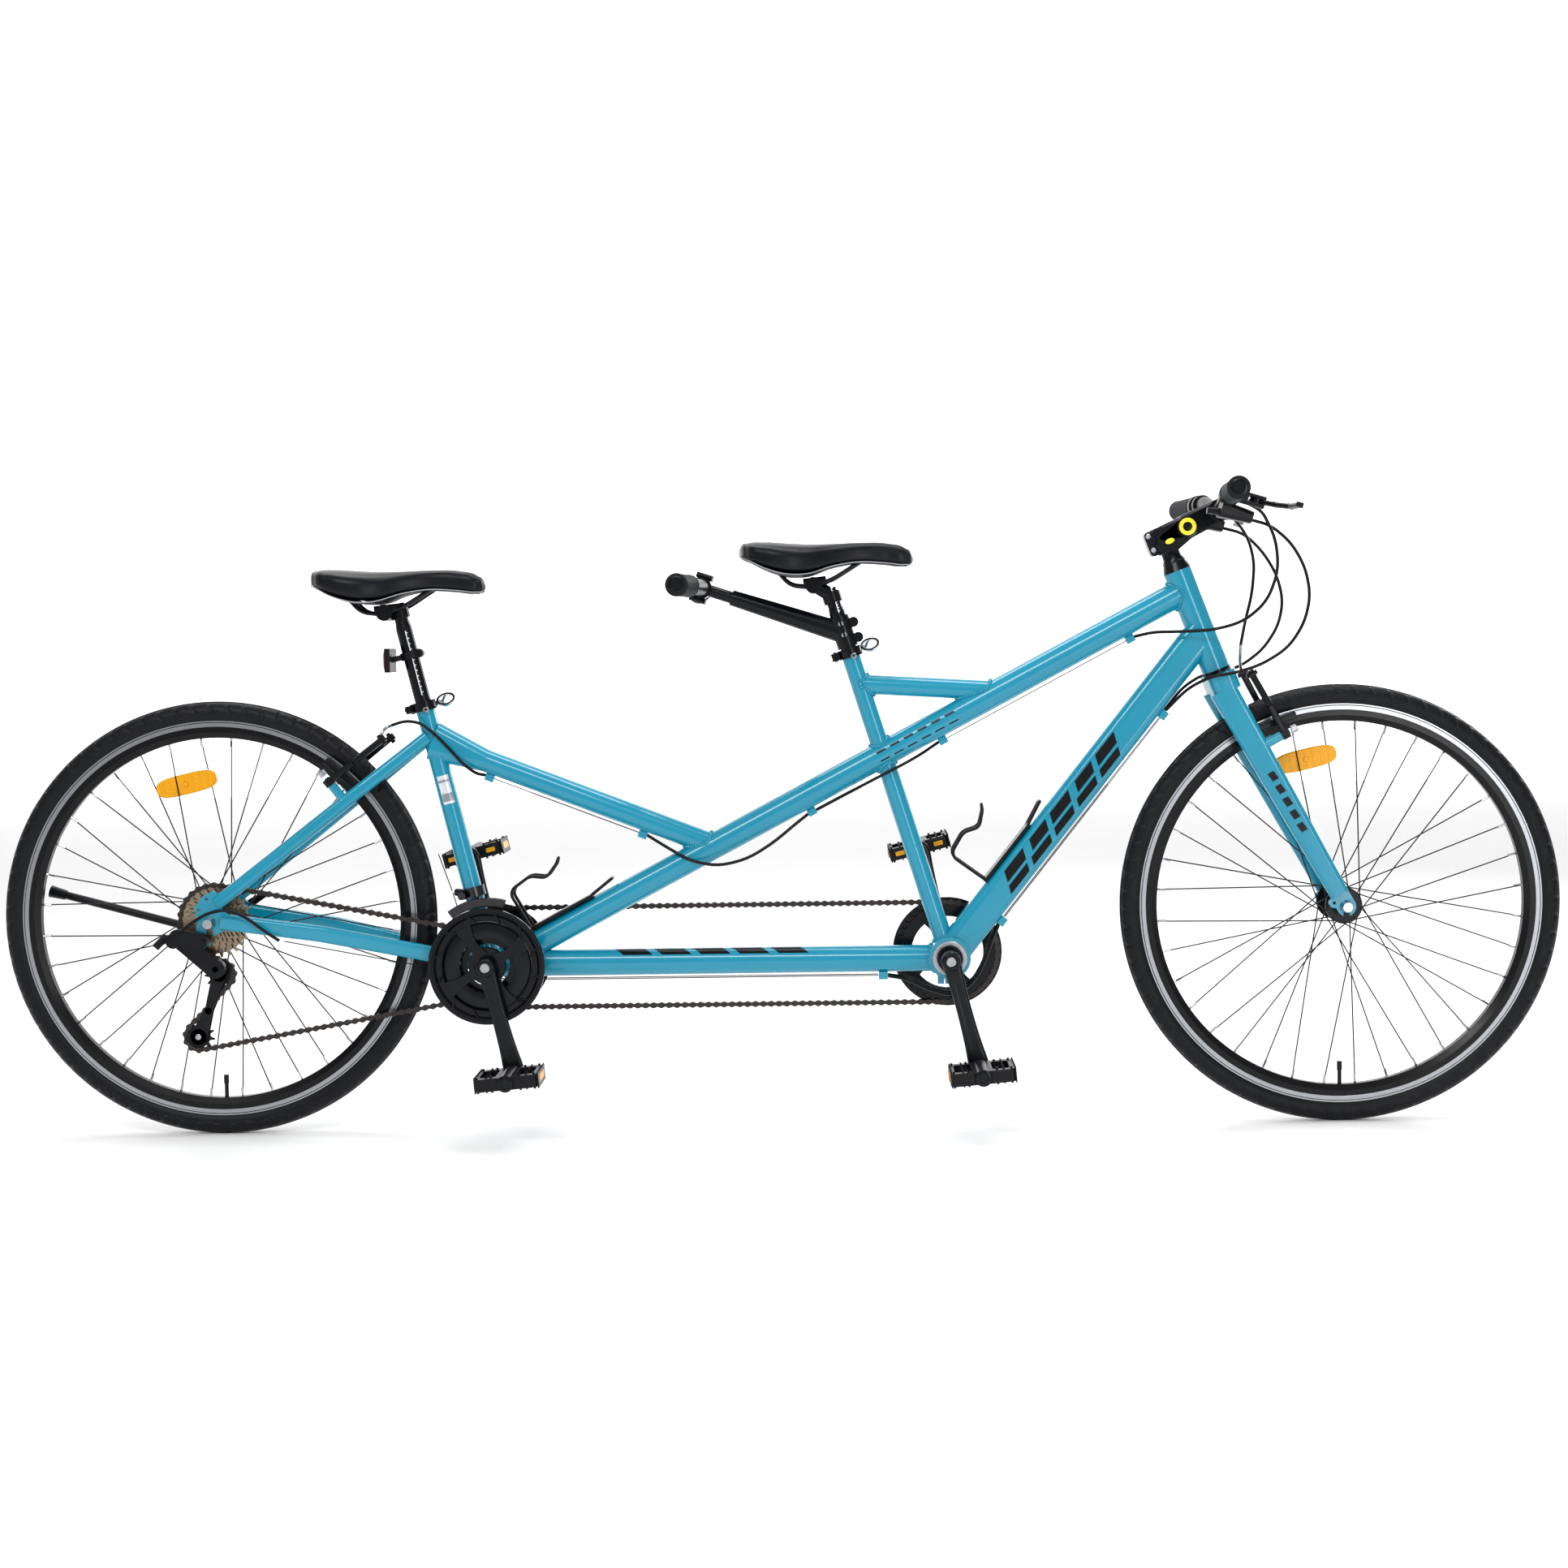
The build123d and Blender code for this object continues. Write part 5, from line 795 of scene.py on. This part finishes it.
# pedals
pedal = {"out": 0.133, "teeth": 7, "toothHeight": 0.0026, "halfWide": 0.040, "halfTall": 0.0098,
         "plate": 0.0024, "innerEnd": 0.031, "outerEnd": 0.0488, "flank": 0.0443}


def pedalShapes(spot, hand, lift):
    # toothed plates across both ends, blocks on both flanks with a recessed window on the outer
    # one and an amber lens on the inner one, and a cap over the axle
    ahead = np.array([math.cos(lift), 0, math.sin(lift)])
    upward = np.array([-math.sin(lift), 0, math.cos(lift)])
    middle = spot + across * hand * pedal["out"]
    black, amber, steel = [], [], []
    for end in (-1, 1):
        steps = np.linspace(-pedal["halfWide"], pedal["halfWide"], 4 * pedal["teeth"] + 1)
        edge = pedal["halfTall"] + np.abs((np.arange(len(steps)) % 4) - 2) / 2 * pedal["toothHeight"]
        outline = np.concatenate([np.stack([steps, edge], -1), np.stack([steps[::-1], -edge], -1)])
        for reach in (pedal["outerEnd"], pedal["innerEnd"]):
            black.append(plateShape(outline, middle + ahead * end * reach, across, upward, pedal["plate"]))
        amber.append(blockShape(middle + ahead * end * 0.0504, across, upward, 0.025, 0.0056, 0.0024,
                                corner=0.25))
        for flank, window, size in ((1, black, (0.0085, 0.0042, 0.0022)),
                                    (-1, amber, (0.0075, 0.0036, 0.0026))):
            side = middle + across * hand * flank * pedal["flank"] + ahead * end * 0.029
            black.append(blockShape(side, ahead, upward, 0.0165, 0.0082, 0.0016, corner=0.2))
            window.append(blockShape(side + ahead * end * 0.003, ahead, upward, *size, corner=0.2))
    steel.append(turnedMm([(180, 0), (180, 12.4), (181.4, 12), (182, 10.5), (182, 7), (181, 6.6), (181, 0)],
                          spot, across * hand, 36))
    steel.append(turnedMm([(77, 0), (77, 9.4), (81.5, 9.4), (82, 8.6), (82, 0)], spot, across * hand, 6))
    return black, amber, steel


for who, centre in (("stoker", rearBracket), ("captain", frontBracket)):
    for hand, word, lift in ((-1, "right", 5), (1, "left", 14)):
        down, side = crankAxes(hand)
        black, amber, steel = pedalShapes(centre + down * 0.170, hand, math.radians(lift))
        body = f"{who}_pedal_{word}_body"
        addPiece(f"{who}Pedal{word.title()}Cage", black, paint["blackPlastic"], body)
        # the pedal lenses carry the same faint painted glow
        addPiece(f"{who}Pedal{word.title()}Lens", amber, paint["amberLensPaintedGlow"], body)
        addPiece(f"{who}Pedal{word.title()}Cap", steel, paint["blackGloss"], body)
print("pedals made")

# stripes, and a label carrying a painted highlight
stripes = {"blocks": 5, "blockLong": 0.047, "gap": 0.011, "half": 0.0155, "slant": 0.011}
downAlong = unit(downEnd - frontBracket)
downUp = np.array([-downAlong[2], 0, downAlong[0]])
decals = []
for hand in (-1, 1):
    for k in range(stripes["blocks"]):
        near = 0.150 + k * (stripes["blockLong"] + stripes["gap"])
        half, long, slant = stripes["half"], stripes["blockLong"], stripes["slant"]
        for low, high, shift in ((-half, -half * 0.28, 0), (half * 0.02, half, 0.006 if k % 2 else 0.0)):
            outline = [(low / half * slant + shift, low), (long + low / half * slant, low),
                       (long + high / half * slant, high), (high / half * slant + shift, high)]
            origin = frontBracket + downAlong * near + across * hand * 0.02135
            decals.append(plateShape(outline, origin, downAlong, downUp, 0.0005))
mainAlong = unit(mainEnd - mainStart)
boomAlong = np.array([1.0, 0, 0])
for k in range(6):
    for turn in ((14, 24), (-24, -18)):
        decals.append(skinShape(mainStart, mainAlong, 0.021, (0.703 + k * 0.0245, 0.719 + k * 0.0245), turn,
                                -0.006))
        decals.append(skinShape(mainStart, mainAlong, 0.021, (0.703 + k * 0.0245, 0.719 + k * 0.0245),
                                (180 - turn[1], 180 - turn[0]), 0.006))
for k in range(5):
    near = 0.205 + k * 0.062
    decals.append(skinShape(boomStart, boomAlong, 0.021, (near, near + 0.047), (38, 78), -0.02))
    decals.append(skinShape(boomStart, boomAlong, 0.021, (near, near + 0.047), (102, 142), 0.02))
addPiece("frameStripes", decals, paint["decalBlack"], "frame", sharp=20)
# a silver patch on the stoker's seat tube: partly a painted highlight, partly the label, whose print is the
# grey bands
label = [skinShape(rearBracket, stokerUp, 0.015, (0.262, 0.308), (-42, 30))]
addPiece("tubeSheenAndLabel", label, paint["silverDecalAndSheen"], "frame")
labelBands = [skinShape(rearBracket, stokerUp, 0.01522, (0.266, 0.279), (-40, 28)),
              skinShape(rearBracket, stokerUp, 0.01522, (0.297, 0.301), (-40, 28))]
addPiece("labelBands", labelBands, paint["labelGrey"], "frame")
legTop, legEnd = np.array([0.703, -0.038, 0.688]), np.array([0.8805, -0.0535, 0.366])
forkDecals = []
for hand in (-1, 1):
    legAlong = unit((legTop - legEnd) * (1, hand * -1, 1))
    for k in range(5):
        share = 0.42 + k * 0.062
        spot = (legTop + (legEnd - legTop) * share) * (1, -hand, 1)
        wide = 0.011 + (0.007 - 0.011) * share
        up = unit(np.cross(legAlong, across))
        outline = [(-0.007, -0.006), (0.007, -0.0045), (0.007, 0.006), (-0.007, 0.0045)]
        forkDecals.append(plateShape(outline, spot + across * hand * (wide + 0.0001), legAlong, up, 0.0008))
addPiece("forkStripes", forkDecals, paint["decalBlack"], "steering")
print("stripes made")

# seat posts: a silver strip along each, a painted highlight, with ticks beside it for the printed marks
post = {"radius": 0.0127, "ticks": 12}
for who, top, up, long in (("captain", captainTop, captainUp, 0.055), ("stoker", stokerTop, stokerUp, 0.105)):
    low = 0.064 if who == "captain" else 0.016
    # the silver strip is a painted highlight along the post; the ticks next to it stand for its printed marks
    scale = [skinShape(top, up, post["radius"], (low, low + long), (-18, -11), lift=0.0002)]
    for k in range(post["ticks"]):
        d = low + long * (k + 0.5) / post["ticks"]
        scale.append(skinShape(top, up, post["radius"], (d, d + 0.0012), (-28, -18), lift=0.0002,
                               steps=(3, 5)))
    addPiece(f"{who}PostSheenAndTicks", scale, paint["silverDecalAndSheen"], f"{who}_seat")

# handlebar grips
grip = {"radius": 0.016, "ribs": 26, "rise": 0.0006}


def gripShape(end, along, length):
    # ribs round the sleeve as a raised cosine along it, and a collar at each end
    d = np.linspace(0.006, length - 0.006, grip["ribs"] * 6 + 1)
    wave = 0.5 - 0.5 * np.cos(2 * np.pi * grip["ribs"] * (d - d[0]) / (d[-1] - d[0]))
    ribbed = np.stack([d, grip["radius"] + 0.0001 + grip["rise"] * wave ** 0.6], -1)
    profile = np.concatenate([[(0.0045, 0.0155), (0.0046, 0.0172), (0.0058, 0.0172)], ribbed,
                              [(length - 0.005, 0.0173), (length - 0.001, 0.0173),
                               (length - 0.0008, 0.0155)]])
    return turnedShape(profile, end, along, 40)


def plugShape(end, along, radius):
    # a bar end plug: a stepped, dished profile turned round the bar's axis
    return turnedShape([(0.0020, 0), (0.0020, radius), (0.0006, radius * 0.96), (-0.0005, radius * 0.8),
                        (-0.0005, radius * 0.55), (0.0003, radius * 0.5), (0.0003, 0)], end, along, 36)


for name, inner, outer, length, body in (
    ("captain", (0.701, 0.105, 0.985), (0.6846, 0.2998, 0.9858), 0.125, "steering"),
    ("stoker", (-0.112, 0.060, 0.861), (-0.133, 0.289, 0.859), 0.118, "captain_seat"),
):
    sleeves, plugs = [], []
    for hand in (-1, 1):
        end = np.array(outer) * (1, hand, 1)
        along = unit(np.array(inner) * (1, hand, 1) - end)
        sleeves.append(gripShape(end, along, length))
        plugs.append(plugShape(end, along, 0.0145))
    addPiece(f"{name}GripRibs", sleeves, paint["gripRubber"], body, sharp=50)
    addPiece(f"{name}GripPlugs", plugs, paint["blackGloss"], body)
print("grips made")

# stem
stem = {"half": 0.0195, "bevel": 0.004, "armRadius": 0.0185, "clampRadius": 0.0178}
stemPivot = np.array([0.652, 0, 0.944])
barMiddle = np.array([0.703, 0, 0.969])
headAhead = np.array([headUp[2], 0, -headUp[0]])


def steerer(distance, behind=0.0):
    # a point on the steering axis, in millimetres above the head tube's lower end
    return headBottom + headUp * distance / 1000 - headAhead * behind / 1000


half, bevel = stem["half"], stem["bevel"]
shapes = [
    turnedMm([(181, 0), (181, 18), (182, 18.4), (189, 15), (199.5, 14.5), (199.5, 0)], headBottom, headUp),
    turnedMm([(199, 0), (199, 17.4), (200.2, 18.6), (240, 18.6), (241.6, 17), (242.4, 0)], headBottom,
             headUp),
    linkShape(steerer(214), 0.0195, stemPivot, stem["armRadius"], -half, half, bevel),
    linkShape(steerer(228), 0.0145, stemPivot, stem["armRadius"], -half, half, bevel),
    linkShape(stemPivot, stem["armRadius"] + 0.0008, barMiddle, stem["clampRadius"], 0.0008 - half,
              half - 0.0008, bevel),
    blockShape(steerer(221, 19), headAhead, headUp, 0.012, 0.020, 0.026, corner=0.4, edge=0.2),
    turnedMm([(-21.5, 0), (-21.5, 13), (-20.8, 16.4), (-19, 17.6), (19, 17.6), (20.8, 16.4), (21.5, 13),
              (21.5, 0)],
             stemPivot),
    turnedMm([(-21, 12.8), (-21, 16.6), (-20, 17.6), (20, 17.6), (21, 16.6), (21, 12.8), (-21, 12.8)],
             barMiddle),
]
stemPiece = addPiece("stemArm", shapes, paint["blackGloss"], "steering", sharp=40)
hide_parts("stem")
yellow, bolts = [], []
for hand in (-1, 1):
    yellow.append(turnedMm([(21.5, 7.2), (22.6, 7.4), (22.8, 8.6), (22.8, 12.4), (22.4, 13.4), (21.5, 13.6),
                            (21.5, 7.2)],
                           stemPivot, across * hand, 48))
    yellow.append(blockShape(steerer(215, -3) + across * hand * 0.0197, headAhead, headUp, 0.0075, 0.0042,
                             0.0014, corner=1.0))
for distance in (211, 234):
    bolts.append(hexBolt(steerer(distance, 25) - across * 0.0125, -across, 0.0042, 0.0032))
    bolts.append(hexBolt(steerer(distance, 25) + across * 0.0125, across, 0.0042, 0.0032))
for hand in (-1, 1):
    bolts.append(hexBolt(barMiddle + (0.0145, hand * 0.013, -0.0105), (0.81, 0, -0.59), 0.0036, 0.0026))
    bolts.append(hexBolt(barMiddle + (0.003, hand * 0.013, 0.0172), (0.17, 0, 0.98), 0.0036, 0.0026))
addPiece("stemMarks", yellow, paint["decalYellow"], "steering")
addPiece("stemBolts", bolts, paint["alloy"], "steering")

# silver adjusters at the hand controls
adjusters = []
for hand in (-1, 1):
    for x, y, z in ((0.6987, 0.1324, 0.9851), (0.6965, 0.1583, 0.9852)):
        spot = np.array([x, hand * y, z])
        adjusters.append(turnedMm([(-3, 0), (-3, 3.4), (1, 3.4), (1.6, 4.2), (4.2, 4.2), (5.2, 3.2),
                                   (5.2, 0)], spot,
                                  (-0.35, 0, 0.94), 20))
addPiece("controlAdjusters", adjusters, paint["alloy"], "steering")

# the stoker's stem: two plain nuts at its side and a clamp of four bolts at the bar
nuts = []
for distance in (0.028, 0.046):
    for hand in (-1, 1):
        nuts.append(turnedMm([(13, 0), (13, 5.2), (15, 5.2), (16.4, 4), (16.4, 0)],
                             captainTop + captainUp * distance, across * hand, 20))
clampMiddle = np.array([-0.112, 0, 0.861])
clampUp = np.array([0.25, 0, 0.968])
clampBack = np.array([-0.968, 0, 0.25])
for lift in (-0.019, 0.019):
    for hand in (-1, 1):
        nuts.append(hexBolt(clampMiddle + clampUp * lift * 0.8 + clampBack * 0.014 + across * hand * 0.013,
                            clampBack, 0.0036, 0.0028))
addPiece("stokerStemBolts", nuts, paint["chrome"], "captain_seat")

# collar bolts on the frame and the boss bolts of the brake arms
collars = []
for top, up in ((captainTop, captainUp), (stokerTop, stokerUp)):
    behind = np.cross(up, across)
    collars.append(hexBolt(top - up * 0.008 - across * 0.0165 - behind * 0.004, -across, 0.0048, 0.003))
addPiece("collarBolts", collars, paint["alloy"], "frame")
for which, spot, out in (("rear", (-0.702329, 0.0425, 0.564996), (-0.613, 0, 0.790)),
                         ("front", (0.797902, 0.0445, 0.618672), (0.8792, 0, 0.4765))):
    for hand, word in ((-1, "right"), (1, "left")):
        boss = np.array(spot) * (1, hand, 1)
        bolt = turnedMm([(12, 0), (12, 6.6), (20, 6.6), (21, 5.6), (21, 3), (19, 2.8), (19, 0)], boss, out,
                        24)
        addPiece(f"{which}BossBolt{word.title()}", [bolt], paint["alloy"], f"{which}_brake_arm_{word}_body")

# the bent silver pipes that lead the brake cables to the arms
rearPipe = smoothPath([(-0.606, -0.020, 0.652), (-0.612, -0.029, 0.649), (-0.618, -0.035, 0.641),
                       (-0.619, -0.034, 0.631)], 24)
frontPipe = smoothPath([(0.741, 0.022, 0.758), (0.741, 0.026, 0.744), (0.743, 0.038, 0.728),
                        (0.746, 0.047, 0.716)], 24)
addPiece("rearCablePipe", [tubeShape(rearPipe, 0.0026, 12, across=(0, 0.3, 1))], paint["alloy"], "frame")
addPiece("frontCablePipe", [tubeShape(frontPipe, 0.0026, 12, across=(1, 0, 0))], paint["alloy"], "steering")

# the rear reflector's red lens, with a faint painted glow
lens = [blockShape(np.array([-0.6135, 0, 0.7545]), across, (0, 0, 1), 0.0275, 0.0165, 0.004, corner=0.3,
                   edge=0.15)]
addPiece("rearReflectorLens", lens, paint["redLensPaintedGlow"], "stoker_seat")
print("stem and small parts made")

# derailleur cage: slender plates from pulley to pulley
cage = {"plates": ((-0.0431, -0.0415), (-0.0306, -0.0290)), "waist": 0.006, "foot": 0.0135}
kneeSpot, heel = np.array([-0.905, 0, 0.204]), np.array([-0.938, 0, 0.1605])
cagePivot = np.array([-0.886, 0, 0.273])
shapes = []
for near, far in cage["plates"]:
    shapes.append(linkShape(cagePivot, 0.0115, guidePulley, 0.0115, near, far, 0.0004))
    shapes.append(linkShape(guidePulley, 0.0115, kneeSpot, cage["waist"], near, far, 0.0004))
    shapes.append(linkShape(kneeSpot, cage["waist"], tensionPulley, cage["foot"], near, far, 0.0004))
    shapes.append(linkShape(tensionPulley, cage["foot"], heel, 0.0055, near, far, 0.0004))
shapes.append(turnedMm([(29, 0), (29, 2.4), (43, 2.4), (43, 0)], tensionPulley, -across, 16))
shapes.append(turnedMm([(29, 0), (29, 2.4), (43, 2.4), (43, 0)], guidePulley, -across, 16))
cagePiece = addPiece("cagePlates", shapes, paint["blackSatin"], "derailleur_cage_body", sharp=40)
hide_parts("derailleur_cage")
bolts = [hexBolt(tensionPulley - across * 0.0431, -across, 0.0046, 0.0022),
         hexBolt(guidePulley - across * 0.0431, -across, 0.0042, 0.0022)]
addPiece("cageBolts", bolts, paint["alloy"], "derailleur_cage_body")
print("derailleur cage made")

# camera, floor and lights
view = {
    "place": (0.0952, -3.7195, 0.764),
    "ahead": (-0.02186, 0.9981, -0.05777),
    "right": (0.99978, 0.02097, -0.01607),
    "lens": 53.86,
}
ahead, right = unit(view["ahead"]), unit(view["right"])
camera = bpy.data.objects.new("camera", bpy.data.cameras.new("camera"))
bpy.context.scene.collection.objects.link(camera)
up = np.cross(right, ahead)
turn = Matrix(np.stack([right, up, -ahead], axis=1).tolist()).to_4x4()
camera.matrix_world = Matrix.Translation(view["place"]) @ turn
camera.data.lens = view["lens"]
camera.data.sensor_width = 36
camera.data.clip_end = 50
bpy.context.scene.camera = camera

floorPaint = makeMaterial("floorPaint", {"colour": (0.93, 0.93, 0.93), "rough": 0.9, "grain": 2.0,
                                         "spread": 0.01})
floorPoints = np.array([[[-9, -9, 0], [9, -9, 0]], [[-9, 12, 0], [9, 12, 0]]], float)
floorMesh = bpy.data.meshes.new("floor")
floorMesh.from_pydata(floorPoints.reshape(-1, 3).tolist(), [], [[0, 1, 3, 2]])
floorMesh.materials.append(floorPaint)
floor = bpy.data.objects.new("floor", floorMesh)
bpy.context.scene.collection.objects.link(floor)
floor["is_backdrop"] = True

studio = {"surround": 0.5, "screen": 1.0, "key": 90, "overhead": 75, "rim": 40, "low": 22}
world = bpy.data.worlds.new("studio")
bpy.context.scene.world = world
world.use_nodes = True
world.node_tree.nodes["Background"].inputs["Color"].default_value = (1, 1, 1, 1)
world.node_tree.nodes["Background"].inputs["Strength"].default_value = studio["surround"]

# a broad white screen behind the bicycle
screenGrid = np.array([[[-14, 9, -0.5], [14, 9, -0.5]], [[-14, 9, 12], [14, 9, 12]]], float)
screenMesh = bpy.data.meshes.new("screen")
screenMesh.from_pydata(screenGrid.reshape(-1, 3).tolist(), [], [[0, 1, 3, 2]])
screenPaint = makeMaterial("screenPaint", {"colour": (1, 1, 1), "rough": 0.9, "grain": 1.0, "spread": 0.0,
                                           "glow": studio["screen"]})
screenMesh.materials.append(screenPaint)
screen = bpy.data.objects.new("screen", screenMesh)
bpy.context.scene.collection.objects.link(screen)
screen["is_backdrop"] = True


def softLight(name, place, target, size, power):
    # an oblong area light at a place, facing a target
    light = bpy.data.lights.new(name, "AREA")
    light.shape = "RECTANGLE"
    light.size, light.size_y = size
    light.energy = power
    lamp = bpy.data.objects.new(name, light)
    bpy.context.scene.collection.objects.link(lamp)
    lamp.location = place
    back = unit(np.asarray(place, float) - np.asarray(target, float))
    side = unit(np.cross((0, 0, 1), back))
    turned = Matrix(np.stack([side, np.cross(back, side), back], 1).tolist())
    lamp.matrix_world = Matrix.Translation(place) @ turned.to_4x4()


softLight("keyLight", (-1.2, -3.6, 3.4), (0, 0, 0.5), (3.4, 0.7), studio["key"])
softLight("overhead", (0.2, 0.3, 3.4), (0, 0, 0.5), (4.2, 0.8), studio["overhead"])
softLight("rimLight", (2.6, 2.4, 2.0), (0.2, 0, 0.5), (1.2, 1.6), studio["rim"])
softLight("lowLight", (1.8, -3.4, 0.7), (0, 0, 0.4), (0.5, 1.6), studio["low"])
bpy.context.scene.view_settings.view_transform = "Standard"
print("camera, floor and lights made")

low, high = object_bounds()
